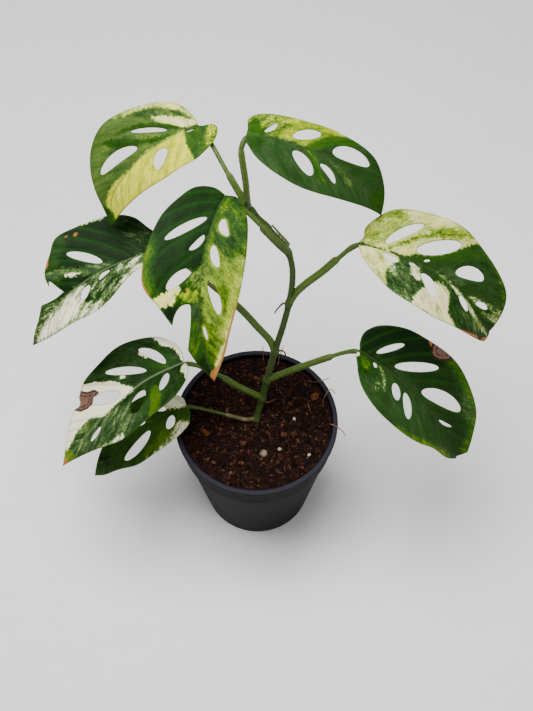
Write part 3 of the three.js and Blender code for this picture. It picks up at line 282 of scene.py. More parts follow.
        (0.38, 0.1, 0.9, 1, [[8, 0], [16, -5.5], [26, -12.5], [36, -18], [46, -21], [37, -16], [27, -10],
         [17, -3.5]]),
        (0.36, 0.1, 0.9, 1.2, [[17, 1], [31, -4.5], [41, -11], [48, -20], [51, -22], [49, -14], [40, -7.5],
         [29, -1]]),
        (0.8, 0.13, 1, 0.5, [[9, 0], [26, 1.5], [38, 0.5], [52, 1], [65, -2.5], [74, -4], [83, -2],
         [89, 1.5], [86, 12], [50, 26], [6, 30], [6, 21], [9, 14], [9, 7]]),
        (0.45, 0.2, 0.85, 0.6, [[8, 0.5], [-2, -1], [-5, 1], [-3, 10], [-7, 18], [-2, 22], [6, 26],
         [7, 21], [9, 14], [9, 7]]),
        (0.6, 0.5, 1, 0.9, [[-7, -1], [-14, 0], [-16, 10], [-6, 18], [-4, 10]]),
        (0.36, 0.06, 0.95, 1.5, [[86, -7], [84, -1], [88, 5], [100, 4], [97, -6]])]},
    "top_right": {"ground": (0.43, 0.11, 0.16), "patches": [
        (0.56, 0.16, 1, 1.5, [[-14, 3], [-14, 16], [2, 26], [16, 24], [18, 8], [12, 1]]),
        (0.37, 0.1, 0.28, 3, [[38, 1], [51, 11], [64, 18], [84, 26], [104, 8], [106, 1], [90, 2], [60, 3]]),
        (0.36, 0.08, 0.25, 2.6, [[19, 0], [24, -12], [31, -19], [46, -20.5], [38, -23], [27, -21],
         [17, -10]]),
        (0.46, 0.2, 0.75, 1.8, [[36, 0], [44, 0], [48, -6], [55, -16], [49, -17], [42, -6]]),
        (0.54, 0.26, 0.3, 1.2, [[53, 0.5], [62, 0], [76, -4], [70, -6.5], [60, -3.5]]),
        (0.66, 0.2, 1, 0.8, [[0, 3], [-2, 18], [12, 25], [30, 26], [57, 36], [66, 25], [61, 24], [53, 19],
         [43, 9], [36, 1], [28, 1], [20, 1.5], [10, 1.5]]),
        (0.58, 0.42, 0.8, 2.5, [[0, 3], [-1, 16], [9, 19], [22, 17], [25, 11], [14, 3], [7, 2]]),
        (0.43, 0.16, 0.9, 2.5, [[0, 11], [5, 14], [10, 7], [14, 1], [0, 1]]),
        (0.76, 0.16, 1, 1.5, [[28, 20], [30, 26], [57, 36], [65, 26], [56, 23], [45, 23]]),
        (0.46, 0.08, 0.85, 0.9, [[36, 0.5], [43, 9], [53, 19], [63, 25], [72, 28], [66, 21], [52, 11],
         [43, 2]]),
        (0.36, 0.06, 1, 3, [[90, 0], [96, 12], [106, 8], [108, 0], [94, -4]]),
        (0.32, 0.18, 0.95, 1.8, [[0, -3], [11, 0], [8, -10], [2, -10]])]},
}
PALE_RIM = (0.66, 0.10, 0.90)

# Strengths and sizes of the unevenness at the edge of a patch
RAGGED_EDGE = ((0.8, 5.0), (0.55, 2.3), (0.4, 1.3))

# How much older than the others the petioles of the lowest leaves look
LEAF_AGE = {"low_left": 0.35, "front_left": 0.15, "low_right": 0.1}

# How far along the blade, and how far under it, the last points of a petiole lie
BLADE_SEAT = ((0.0, 2.0), (2.5, 1.35), (6.0, 0.8))
WING_ANGLE = 0.62

# The vine's axis and the heights of its nodes, and the radius and axis of each aerial root
STEM_ROUTE = [
    [-3.4, -6, 70], [-2.8, -3, 90], [-0.8, 1.6, 107], [4.1, 11.9, 126], [7.8, 17.8, 142], [13.4, 26.9, 167],
    [19, 35, 188], [22.7, 41, 206], [24.6, 46.4, 221], [24.4, 50.5, 233], [21.4, 54.4, 245],
    [14.5, 58.2, 254.5], [7.1, 61.5, 263], [0, 64.6, 271], [-4.2, 66.4, 276.5],
]
STEM_NODES = [110, 126, 142, 167, 206, 245, 263, 274]
AERIAL_ROOTS = {
    "upper": (0.75, [[22.4, 41, 203.5], [19.3, 42.6, 203.5], [16, 41.8, 200], [12.6, 40.4, 194]]),
    "middle": (0.7, [[13.6, 26.5, 165.5], [17, 28.2, 165.5], [20, 28.6, 163], [21.4, 27.4, 158]]),
    "lower": (0.8, [[3.4, 10, 122], [6.6, 10.7, 121.4], [10.2, 12.8, 119], [14.4, 16.3, 117]]),
}
HAIRS = 46
OLD_SHEATH = [[22.2, 57, 248.3], [16.7, 59.7, 255.5], [10.4, 62.5, 262.8]]

POT = {
    "height": 115, "lip_radius": 60, "lip_depth": 4, "band_radius": 57.6, "band_drop": 22, "step_in": 2.2,
    "base_radius": 42, "wall": 1.3, "floor": 1.6, "drain_holes": 6, "drain_radius": 4.5, "drain_circle": 27,
}
DRILL_REACH = (-1, 4)
DRILL_SIDES = 32
SOIL_LEVEL = 111
SOIL_RADIUS = 55.9
SOIL_RINGS = [(55.3, 96.0), (53.2, 88.0), (40.2, 5.0), (37.6, 1.95)]  # radius and height, down the side
VINE_FOOT = (0.2, 3.2)
VINE_CLEARANCE = 3.3
CRUMBS = 2300
CRUMB_TINTS = (0.12, 0.22, 0.32, 0.38, 0.44, 0.5, 0.56, 0.62, 0.7)
FIBRES = 150

# Place, three half sizes, turn in degrees and kind of the larger pieces in the soil's surface
SOIL_PIECES = {
    "pale_pebble": (5.2, -25.9, 2.9, 2.5, 2.1, 60, "pebble"),
    "perlite_front": (38.2, -27.3, 1.5, 1.4, 1.3, 10, "perlite"),
    "perlite_middle": (16.9, -22.5, 1.3, 1.2, 1.1, 60, "perlite"),
    "perlite_right": (27.8, 2.4, 1.3, 1.2, 1.1, 0, "perlite"),
    "bark_chip_back": (0.8, 36.6, 3.2, 1.7, 1.4, -20, "bark"),
    "bark_chip_right": (43.8, 20.6, 4.2, 2.7, 1.9, 70, "bark"),
    "bark_chip_left": (-37.6, -9, 4.6, 2.4, 1.6, -30, "bark"),
    "bark_chip_front": (27.2, -10.3, 2.8, 2.2, 1.4, 15, "bark"),
}
COIR_RADIUS = 0.42
COIR_STRANDS = [
    [[38.2, 36.8, 109], [40.9, 33.9, 112], [43.8, 31.8, 114.9], [46.2, 31.8, 116], [51.1, 33.2, 116.1],
     [54.8, 34.4, 116.5]],
    [[49.8, 12.5, 109], [49.6, 15.7, 113], [51.2, 19.4, 115.7], [53.4, 22.9, 116.3], [55.5, 24.8, 116.3],
     [57.6, 23.5, 115.9], [58.8, 21.9, 114.2]],
    [[38.6, 20.2, 109], [38.5, 13.2, 113], [39.7, 8.6, 113.4], [41.8, 5.3, 109]],
    [[54.1, -0.3, 109], [54.5, -2.6, 112.6], [54.8, -4.2, 115.2], [56.6, -5.4, 116.2], [59.8, -7.6, 116],
     [63.2, -10.1, 115.3], [64.6, -12.6, 113.2]],
    [[5.1, 52.6, 109], [5, 54.1, 112.5], [4.9, 54.6, 115.3], [4.8, 57.6, 116.2], [4.6, 60.8, 116.4],
     [4.4, 62.4, 117.4]],
    [[16.5, 50.2, 109], [16.7, 51.6, 113], [17, 52.4, 115.6], [18.2, 56, 116.2], [19.6, 60.4, 116.5],
     [21, 62.6, 117.8]],
]

# Colours, as the shader's own linear values. A leaf's tone runs through a cool and a sunny row of seven.
TONE_PLACES = (0.0, 0.22, 0.30, 0.46, 0.55, 0.70, 0.86)
COOL_TONES = (
    (0.002, 0.005, 0.002), (0.003, 0.012, 0.002), (0.009, 0.022, 0.004), (0.022, 0.048, 0.016),
    (0.048, 0.089, 0.028), (0.171, 0.253, 0.076), (0.880, 0.810, 0.650),
)
SUNNY_TONES = (
    (0.002, 0.005, 0.002), (0.003, 0.012, 0.002), (0.007, 0.032, 0.002), (0.021, 0.071, 0.002),
    (0.065, 0.120, 0.002), (0.215, 0.290, 0.006), (0.640, 0.600, 0.030),
)
VEIN_GREEN = (0.007, 0.047, 0.002)
VEIN_YELLOW = (0.110, 0.190, 0.006)
NET_GREEN = (0.010, 0.035, 0.002)
NET_YELLOW = (0.200, 0.270, 0.010)
RIB_GREEN = (0.024, 0.046, 0.012)
RIB_GREY = (0.115, 0.160, 0.075)
RIB_PALE = (0.100, 0.165, 0.035)
MARGIN_PALE = (0.033, 0.065, 0.002)
BLUSH = (0.350, 0.135, 0.035)
SCORCH_TAN = (0.150, 0.084, 0.056)
SCORCH_DARK = (0.062, 0.032, 0.021)
SCORCH_RIM = (0.026, 0.013, 0.008)
UNDERSIDE = (0.032, 0.073, 0.017)

# Young and old tissue, specks and dullness
STEM_LOOKS = {
    "petiole": ((0.056, 0.096, 0.011), (0.024, 0.048, 0.005), (0.110, 0.160, 0.030), 0.42),
    "vine": ((0.038, 0.068, 0.007), (0.013, 0.029, 0.003), (0.056, 0.086, 0.014), 0.5),
    "root": ((0.120, 0.045, 0.020), (0.045, 0.016, 0.009), (0.200, 0.090, 0.045), 0.8),
    "sheath": ((0.090, 0.130, 0.028), (0.085, 0.075, 0.024), (0.050, 0.030, 0.014), 0.75),
}
DRY_TAN = (0.150, 0.100, 0.055)
DRY_GREEN = (0.055, 0.060, 0.020)

# Dark and light grains, their fineness and dullness
GRIT_LOOKS = {
    "pebble": ((0.060, 0.036, 0.022), (0.280, 0.210, 0.145), 420.0, 0.7),
    "perlite": ((0.210, 0.160, 0.110), (0.540, 0.460, 0.350), 900.0, 0.9),
    "bark": ((0.020, 0.007, 0.003), (0.110, 0.040, 0.014), 420.0, 0.9),
}
COIR_PLACES = (0.0, 0.35, 0.60, 0.80, 1.0)
COIR_TONES = (
    (0.002, 0.001, 0.001), (0.009, 0.0035, 0.0025), (0.032, 0.011, 0.006), (0.110, 0.042, 0.020),
    (0.260, 0.130, 0.070),
)
POT_BLACK = (0.0035, 0.0035, 0.004)
POT_DUST = (0.010, 0.009, 0.009)
# The bluish grey lip colour is a painted highlight along the top of the lip, not the plastic's own colour
POT_LIP_HIGHLIGHT = (0.022, 0.022, 0.030)
POT_SCUFF = (0.012, 0.012, 0.014)

# The studio. Lights have a place, a size and a power, in metres and watts.
FLOOR_TONES = ((0.74, 0.74, 0.73), (0.79, 0.79, 0.78))
FLOOR_HALF = 14000
LIGHTS = {"key_light": ((-0.20, 0.10, 1.35), 0.8, 36), "fill_light": ((0.8, -1.0, 0.9), 1.2, 8)}
LIT_PLACE = (0, 0.03, 0.18)
SKY_COLOUR = (0.96, 0.98, 1.0, 1)
SKY_STRENGTH = 0.22
CAMERA_PLACE = (0.0074, -0.342, 0.7582)
CAMERA_FORWARD = (0, 0.5255, -0.8508)
CAMERA_LENS = 50
CAMERA_SENSOR = 36


# Numbers and curves

def smoothstep(x, low, high):
    t = np.clip((x - low) / (high - low), 0, 1)
    return t * t * (3 - 2 * t)


def between(x, start, risen, falling, end):
    """1 from risen to falling, with soft sides that reach 0 at start and end."""
    return smoothstep(x, start, risen) * (1 - smoothstep(x, falling, end))


def bell(x, width):
    return np.exp(-(x / width) ** 2)


def length_of(vector):
    return np.linalg.norm(vector, axis=-1, keepdims=True)


def curve_points(route, pitch):
    """Points about pitch apart along the centripetal Catmull-Rom curve through a route."""
    p = np.array(route, float)
    p = np.vstack([2 * p[0] - p[1], p, 2 * p[-1] - p[-2]])
    dense = []
    for a, b, c, d in zip(p[:-3], p[1:-2], p[2:-1], p[3:]):
        d0, d1, d2 = (max(np.linalg.norm(n - m), 1e-8) ** 0.5 for m, n in ((a, b), (b, c), (c, d)))
        s = ((b - a) / d0 - (c - a) / (d0 + d1) + (c - b) / d1) * d1
        e = ((c - b) / d1 - (d - b) / (d1 + d2) + (d - c) / d2) * d1
        t = np.linspace(0, 1, CURVE_STEPS, endpoint=False)[:, None]
        dense.append(b + s * t + (3 * (c - b) - 2 * s - e) * t ** 2 + (2 * (b - c) + s + e) * t ** 3)
    dense = np.vstack(dense + [p[-2:-1]])
    along = np.append(0, np.cumsum(length_of(np.diff(dense, axis=0))))
    places = np.linspace(0, along[-1], max(2, round(along[-1] / pitch) + 1))
    return np.stack([np.interp(places, along, column) for column in dense.T], 1)


def ripple(x, y, seed, size):
    """Gentle repeatable unevenness from -1 to 1, with features about size wide."""
    draw = random.Random(seed)
    total = 0
    for _ in range(5):
        angle = draw.uniform(0, TURN)
        wavelength = size * draw.uniform(0.8, 2.2)
        phase = draw.uniform(0, TURN)
        total = total + np.sin((x * math.cos(angle) + y * math.sin(angle)) * TURN / wavelength + phase)
    return total / 5


def drawn_vector(draw, size):
    return np.array([draw.uniform(-size, size) for _ in range(3)])


def ring_angles(sides):
    return np.arange(sides) / sides * TURN


def ring(angle, radius):
    """(right, up) pairs round a section, from the top."""
    return np.stack([np.sin(angle) * radius, np.cos(angle) * radius], 1)


# Meshes

def triangulate(loops, grid, kind):
    """Points and triangles over some closed loops and the loose points among them."""
    edges, start = [], 0
    for loop in loops:
        edges += [(start + k, start + (k + 1) % len(loop)) for k in range(len(loop))]
        start += len(loop)
    made = delaunay_2d_cdt([Vector(p) for p in np.vstack([*loops, grid])], edges, [], kind, TOLERANCE)
    return np.array([tuple(p) for p in made[0]]), np.array(made[2])


def skin(count, sides):
    """Faces over count rings of points, closed by two middle points that follow the rings."""
    faces = []
    turn = [(i, (i + 1) % sides) for i in range(sides)]
    for a in range(0, (count - 1) * sides, sides):
        faces += [(a + i, a + sides + i, a + sides + j, a + j) for i, j in turn]
    end, last = count * sides, (count - 1) * sides
    return faces + [(end, i, j) for i, j in turn] + [(end + 1, last + j, last + i) for i, j in turn]


def merge(parts):
    """The points and faces of several shapes as one."""
    faces, start = [], 0
    for points, shape in parts:
        faces += [tuple(start + i for i in face) for face in shape]
        start += len(points)
    return np.vstack([points for points, _ in parts]), faces


def sweep(route, section, pitch=0.6):
    """A closed tube along a route. section(t, length) gives a ring of (right, up) pairs at a fraction t."""
    path = curve_points(route, pitch)
    tangent = np.gradient(path, axis=0)
    tangent /= length_of(tangent)
    length = length_of(np.diff(path, axis=0)).sum()
    rings, right = [], np.array([1.0, 0, 0])
    for k, (centre, along) in enumerate(zip(path, tangent)):
        level = np.cross(along, (0, 0, 1))
        carried = right - along * (right @ along)
        steep = smoothstep(np.linalg.norm(level), 0.12, 0.4)
        mixed = level * steep * (1 if level @ carried >= 0 else -1) + carried * (1 - steep)
        right = mixed / np.linalg.norm(mixed)
        shape = section(k / (len(path) - 1), length)
        rings.append(centre + shape[:, :1] * right + shape[:, 1:] * np.cross(right, along))
    count, sides = len(rings), len(rings[0])
    t = np.append(np.repeat(np.linspace(0, 1, count), sides), [0, 1])
    return np.vstack(rings + [path[:1], path[-1:]]), skin(count, sides), t, length


def lathe(profile, sides, centre_low, centre_high):
    """A closed solid of revolution. The profile runs from the underside's middle to the inside's middle."""
    angle = ring_angles(sides)
    rings = [np.stack([r * np.cos(angle), r * np.sin(angle), np.full(sides, z)], 1) for r, z in profile]
    points = np.vstack(rings + [[[0, 0, centre_low]], [[0, 0, centre_high]]])
    return points, [(face[0], *face[:0:-1]) for face in skin(len(rings), sides)]


def unit_ball(detail):
    """A round mesh: corners and triangles of an icosahedron split detail times."""
    ball = bmesh.new()
    bmesh.ops.create_icosphere(ball, subdivisions=detail, radius=1)
    points = np.array([v.co[:] for v in ball.verts])
    faces = [tuple(v.index for v in f.verts) for f in ball.faces]
    ball.free()
    return points, faces


def place_object(name, data):
    made = bpy.data.objects.new(name, data)
    bpy.context.scene.collection.objects.link(made)
    return made


def plain_mesh(name, points, faces):
    mesh = bpy.data.meshes.new(name)
    mesh.from_pydata((np.asarray(points, float) * MM).tolist(), [], [list(map(int, f)) for f in faces])
    return mesh


def make_piece(name, shape, material, slot, node=None, **layers):
    """A piece from points in millimetres and faces. A layer holds a value or a triple for each point."""
    mesh = plain_mesh(name, *shape)
    for layer, values in layers.items():
        values = np.asarray(values, np.float32)
        kind, field = ("FLOAT", "value") if values.ndim == 1 else ("FLOAT_VECTOR", "vector")
        mesh.attributes.new(layer, kind, "POINT").data.foreach_set(field, values.ravel())
    mesh.shade_smooth()
    mesh.materials.append(material)
    piece = place_object(name, mesh)
    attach(piece, "root")
    if node:
        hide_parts(node)
    return piece


# Node materials

class Value:
    """A value inside a material. Sums, differences and products of values become math nodes."""

    def __init__(self, shader, socket):
        self.shader = shader
        self.socket = socket

    def __add__(self, other):
        return self.shader.math("ADD", self, other)

    def __sub__(self, other):
        return self.shader.math("SUBTRACT", self, other)

    def __mul__(self, other):
        return self.shader.math("MULTIPLY", self, other)

    def clamped(self):
        self.socket.node.use_clamp = True
        return self


class Shader:
    """A node material under construction."""

    def __init__(self, name):
        self.material = bpy.data.materials.new(name)
        self.material.use_nodes = True
        self.nodes = self.material.node_tree.nodes
        self.surface = self.nodes["Principled BSDF"]

    def put(self, socket, value):
        if isinstance(value, Value):
            self.material.node_tree.links.new(value.socket, socket)
        elif socket.type == "RGBA":
            socket.default_value = (*value, 1)
        else:
            socket.default_value = value

    def node(self, kind, inputs, output=0, **settings):
        """One output of a new node with the given inputs and settings."""
        node = self.nodes.new("ShaderNode" + kind)
        for setting, value in settings.items():
            setattr(node, setting, value)
        for key, value in inputs.items():
            self.put(node.inputs[key], value)
        return Value(self, node.outputs[output])

    def math(self, operation, a, b=0.0):
        return self.node("Math", {0: a, 1: b}, operation=operation)

    def layer(self, name, output="Fac"):
        """A layer of the mesh: Fac of single values, or Vector of triples."""
        return self.node("Attribute", {}, output, attribute_name=name)

    def place(self):
        return self.node("TexCoord", {}, "Object")

    def split(self, vector):
        first = self.node("SeparateXYZ", {0: vector})
        return [Value(self, socket) for socket in first.socket.node.outputs]

    def texture(self, kind, place, scale, inputs, **settings):
        """A texture of one scale, or of three along the axes."""
        if isinstance(scale, tuple):
            place, scale = self.node("VectorMath", {0: place, 1: scale}, operation="MULTIPLY"), 1.0
        return self.node(kind, {"Vector": place, "Scale": scale, **inputs}, **settings)

    def noise(self, place, scale, detail, roughness=0.6):
        return self.texture("TexNoise", place, scale, {"Detail": detail, "Roughness": roughness})

    def cracks(self, place, scale):
        return self.texture("TexVoronoi", place, scale, {}, feature="DISTANCE_TO_EDGE")

    def step(self, value, low, high, top=1.0):
        inputs = {"Value": value, "From Min": low, "From Max": high, "To Max": top}
        return self.node("MapRange", inputs, interpolation_type="SMOOTHSTEP")

    def ramp(self, value, places, colours):
        made = self.node("ValToRGB", {0: value})
        elements = made.socket.node.color_ramp.elements
        while len(elements) < len(places):
            elements.new(1)
        for element, position, colour in zip(elements, places, colours):
            element.position = position
            element.color = (*colour, 1)
        return made

    def mix(self, share, a, b):
        return self.node("Mix", {0: share, 6: a, 7: b}, 2, data_type="RGBA")

    def finish(self, colour, roughness, specular=0.5, height=None, strength=0.3, depth=0.3):
        """Closes the material. Height is a bump whose depth is in millimetres."""
        inputs = {"Base Color": colour, "Roughness": roughness, "Specular IOR Level": specular}
        if height is not None:
            bump = {"Strength": strength, "Distance": depth * MM, "Height": height}
            inputs["Normal"] = self.node("Bump", bump)
        for key, value in inputs.items():
            self.put(self.surface.inputs[key], value)
        return self.material


def leaf_material():
    """Mottled green to cream by the painted tone, then veins, net, midrib, margin, spots and underside."""
    s = Shader("leaf")
    names = ("leaf_place", "leaf_tone", "leaf_line", "leaf_spot")
    place, *layers = (s.layer(name, "Vector") for name in names)
    pale_rib = s.split(place)[2]
    (level, mottle, warm), (vein, rib, top), (scorch, blush, margin) = map(s.split, layers)
    clouds = s.noise(place, (0.15, 0.11, 0.0), 5.0, 0.62)
    specks = s.noise(place, (0.95, 0.40, 0.0), 3.0, 0.65)
    flecks = s.noise(place, (2.1, 1.2, 0.0), 2.0)
    soft = s.noise(place, (0.16, 0.10, 0.0), 1.0)
    net_edge = s.cracks(place, (0.55, 0.42, 0.0))

    swing = (clouds - 0.5) * 3.2 + (specks - 0.5) * 1.7 + (flecks - 0.5) * 2.2
    tone = level + swing * mottle
    hue = (warm + (soft - 0.5) * 0.5).clamped()
    colour = s.mix(hue, s.ramp(tone, TONE_PLACES, COOL_TONES), s.ramp(tone, TONE_PLACES, SUNNY_TONES))
    pale = s.step(tone, 0.5, 0.75)
    green_vein = (vein * s.math("SUBTRACT", 0.5, pale * 0.14)).clamped()
    colour = s.mix(green_vein, colour, s.mix(pale, VEIN_GREEN, VEIN_YELLOW))
    colour = s.mix(s.step(net_edge, 0.10, 0.0, 0.16), colour, s.mix(pale, NET_GREEN, NET_YELLOW))
    rib_colour = s.mix(pale, s.mix(pale_rib, RIB_GREEN, RIB_GREY), RIB_PALE)
    colour = s.mix(s.step(rib, 0.4, 0.95) * 0.85, colour, rib_colour)
    colour = s.mix(margin * 0.5, colour, MARGIN_PALE)

    rough_edge = (specks - 0.5) * 0.8
    colour = s.mix(s.step(blush + rough_edge, 0.4, 0.8, 0.9), colour, BLUSH)
    burnt = scorch + rough_edge * 0.6
    rings = s.math("SINE", burnt * 21.0)
    brown = s.mix(s.step(rings, -1.0, 0.6), SCORCH_DARK, SCORCH_TAN)
    brown = s.mix(s.step(burnt, 0.62, 0.45), brown, SCORCH_RIM)
    dead = s.step(burnt, 0.36, 0.44)
    colour = s.mix(dead, colour, brown)
    colour = s.mix(top, s.mix(0.42, colour, UNDERSIDE), colour)

    below = s.math("SUBTRACT", 1.0, top)
    rough = specks * 0.14 + 0.40 + dead * 0.35 + below * 0.2
    height = s.noise(place, (2.6, 2.0, 0.0), 2.0) + s.step(net_edge, 0.0, 0.16) * 0.7
    return s.finish(colour, rough, 0.04, height, depth=0.22)


def stem_material(name):
    """Fresh stem tissue: streaks along it, darker or paler bands by the age layer, fine specks."""
    young, old, speck, dullness = STEM_LOOKS[name]
    s = Shader(name)
    place = s.place()
    streaks = s.noise(place, (900.0, 900.0, 140.0), 3.0)
    blotches = s.noise(place, (160.0, 160.0, 90.0), 2.0)
    share = (s.layer("age") + (blotches - 0.5) * 1.1).clamped()
    colour = s.mix(share, young, old)
    colour = s.mix(s.step(streaks, 0.5, 0.72, 0.55), colour, speck)
    withered = s.mix(s.step(blotches, 0.35, 0.65), DRY_TAN, DRY_GREEN)
    dry = s.step(s.layer("dry") + (streaks - 0.5) * 0.9, 0.35, 0.65)
    colour = s.mix(dry, colour, withered)
    return s.finish(colour, streaks * 0.15 + dullness, 0.25, streaks, 0.35, 0.2)


def pot_material():
    s = Shader("pot_plastic")
    place = s.place()
    z = s.split(place)[2]
    grain = s.noise(place, 1800.0, 2.0)
    dust = s.step(s.noise(place, 45.0, 4.0), 0.46, 0.72, 0.5) * s.step(z, 0.085, 0.115)
    scuffs = s.step(s.noise(place, (30.0, 30.0, 700.0), 2.0), 0.6, 0.8, 0.25)
    colour = s.mix(dust, POT_BLACK, POT_DUST)
    # Painted highlight: a thin bluish grey band over the top millimetre and a half of the lip
    colour = s.mix(s.step(z, 0.1134, 0.1148, 0.9), colour, POT_LIP_HIGHLIGHT)
    colour = s.mix(scuffs, colour, POT_SCUFF)
    return s.finish(colour, grain * 0.16 + 0.46 + dust * 0.4, 0.035, grain, 0.25, 0.12)


def soil_material():
    """Coir and crumbs: tint runs from dark peat through red brown to orange fibre."""
    s = Shader("coir_soil")
    place = s.place()
    coarse = s.noise(place, 420.0, 4.0, 0.7)
    fibres = s.noise(place, (1600.0, 500.0, 900.0), 3.0)
    value = (s.layer("tint") + (coarse - 0.5) * 0.9).clamped()
    colour = s.ramp(value, COIR_PLACES, COIR_TONES)
    return s.finish(colour, 0.95, 0.1, coarse + fibres, 0.7, 0.6)


def grit_material(name):
    dark, light, scale, dullness = GRIT_LOOKS[name]
    s = Shader(name)
    place = s.place()
    grain = s.noise(place, scale, 4.0, 0.7)
    pits = s.cracks(place, scale * 1.7)
    colour = s.mix(s.step(grain, 0.35, 0.65), dark, light)
    colour = s.mix(s.step(pits, 0.06, 0.0, 0.5), colour, dark)
    return s.finish(colour, dullness, 0.05, grain + pits, 0.6, 0.3)


# Blades

def rib_frame(leaf, t):
    """Forward, left and up directions of the blade at fractions t of its length."""
    yaw = np.radians(leaf["yaw"] + leaf["bend"] * t)
    pitch = np.radians(leaf["pitch"] - leaf["droop"] * t)
    roll = np.radians(leaf["roll"] + leaf["twist"] * t)
    level = np.cos(pitch)
    forward = np.stack([level * np.cos(yaw), level * np.sin(yaw), np.sin(pitch)], -1)
    flat_left = np.stack([-np.sin(yaw), np.cos(yaw), 0 * yaw], -1)
    flat_up = np.cross(forward, flat_left)
    left = flat_left * np.cos(roll)[..., None] + flat_up * np.sin(roll)[..., None]
    return forward, left, np.cross(forward, left)


def blade_point(leaf, u, v):
    """The bent blade's middle surface at points of its flat drawing."""
    u, v = np.asarray(u, float), np.asarray(v, float)
    length = leaf["length"]
    steps = (np.arange(RIB_STEPS + 3) + 0.5) / RIB_STEPS
    stations = np.vstack([leaf["at"], rib_frame(leaf, steps)[0] * length / RIB_STEPS]).cumsum(0)
    t = np.clip(u / length, 0, (RIB_STEPS + 3) / RIB_STEPS)
    k = np.minimum(np.floor(t * RIB_STEPS).astype(int), RIB_STEPS + 2)
    forward, left, up = rib_frame(leaf, t)
    side = (v < 0).astype(int)
    fold = np.radians(np.array(leaf["fold"], float))[side]
    curl = np.radians(np.array(leaf["curl"], float))[side] / FOLD_SPAN + 1e-6
    away = np.abs(v)
    across = (np.sin(fold) - np.sin(fold - curl * away)) / curl
    rise = (np.cos(fold - curl * away) - np.cos(fold)) / curl
    wave = np.sin(TURN * WAVES * (u / length) + leaf["wave_phase"] + side * 2)
    rise = rise + leaf["wave"] * wave * (away / FOLD_SPAN) ** 2
    share = (t * RIB_STEPS - k)[..., None]
    point = stations[k] * (1 - share) + stations[k + 1] * share
    point = point + forward * (u - t * length)[..., None]
    return point + left * (np.sign(v) * across)[..., None] + up * rise[..., None]


def blade_normal(leaf, u, v, reach=0.5):
    along = blade_point(leaf, u + reach, v) - blade_point(leaf, u - reach, v)
    across = blade_point(leaf, u, v + reach) - blade_point(leaf, u, v - reach)
    normal = np.cross(along, across)
    return normal / length_of(normal)


def rib_offset(leaf, u):
    """The midrib's wander from v = 0."""
    values = np.array([0, *leaf["rib"]], float)
    t = np.clip(u / leaf["length"], 0, 1) * 4
    k = np.minimum(np.floor(t).astype(int), 3)
    return values[k] + (values[k + 1] - values[k]) * smoothstep(t - k, 0, 1)


def margin_loop(leaf, pitch):
    """The blade's outline, out along its right side and back along its left."""
    right, left = (
        np.vstack([curve_points(run, pitch)[:-1] for run in leaf[side]]) for side in ("right", "left")
    )
    return np.vstack([right, leaf["left"][-1][-1:], left[1:][::-1]])


def hole_loop(hole, pitch):
    """The outline of a hole from its two ends, its width and how far it bows sideways."""
    u0, v0, u1, v1, width, bow = hole
    axis = np.array([u1 - u0, v1 - v0], float)
    normal = np.array([-axis[1], axis[0]]) / np.linalg.norm(axis)
    angle = ring_angles(max(12, round((np.linalg.norm(axis) + width) * 1.7 / pitch)))
    along = (1 - np.cos(angle)) / 2
    sideways = -np.sin(angle) * width / 2 + bow * np.sin(angle) ** 2
    return np.array([u0, v0]) + along[:, None] * axis + sideways[:, None] * normal


def inside(points, loop):
    """Which points a loop encloses, by counting the edges that a ray to the right crosses."""
    a, b = loop, np.roll(loop, -1, 0)
    x, y = points[:, :1], points[:, 1:]
    spans = (a[:, 1] > y) != (b[:, 1] > y)
    rise = np.where(a[:, 1] == b[:, 1], 1, b[:, 1] - a[:, 1])
    crossing = (b[:, 0] - a[:, 0]) * (y - a[:, 1]) / rise + a[:, 0]
    return (spans & (x < crossing)).sum(1) % 2 == 1


def on_blade(points, margin, holes):
    return inside(points, margin) & ~np.any([inside(points, hole) for hole in holes], 0)


def edge_distance(points, loop):
    nearest = np.full(len(points), np.inf)
    for start, along in zip(loop, np.roll(loop, -1, 0) - loop):
        to = points - start
        t = np.clip(to @ along / (along @ along), 0, 1)
        nearest = np.minimum(nearest, np.hypot(*(to - t[:, None] * along).T))
    return nearest


def depth_in(points, outline, pitch):
    """How far the points lie inside a smooth closed outline, below 0 outside it."""
    loop = curve_points(outline + outline[:1], pitch)[:-1]
    return np.where(inside(points, loop), 1, -1) * edge_distance(points, loop)


def vein_place(leaf, u, v):
    """Where the side vein through (u, v) leaves the midrib, its lean at (u, v), and the way between."""
    away = np.abs(v - rib_offset(leaf, u))
    lean = 1.5 / leaf["length"]
    root = (u - 0.45 * away - 0.006 * away ** 2) / (1 + lean * away)
    return root, 0.45 + lean * root + 0.012 * away, away


def side_veins(leaf, side):
    """Roots of the main side veins of one half: they run between its holes."""
    spans = []
    for u0, v0, u1, v1, width, _ in leaf["holes"]:
        if (v0 + v1) * side > 0 and width > 2.5:
            axis = np.linspace((u0, v0), (u1, v1), 3)
            roots = vein_place(leaf, *axis.T)[0]
            spans.append((roots.min() - 1.5, roots.max() + 1.5))
    spans.sort()
    found = [(high + low) / 2 for (_, high), (low, _) in zip(spans, spans[1:])]
    found = [spans[0][0] - 1.5, *found, spans[-1][1] + 1.5] if spans else [6.0, 16.0]
    draw = random.Random(f"{leaf['name']} {side}")
    while found[-1] < leaf["length"] - 14:
        found.append(found[-1] + draw.uniform(8.0, 12.5))
    while found[0] > -6:
        found.insert(0, found[0] - draw.uniform(6.5, 10.0))
    return np.array(found)


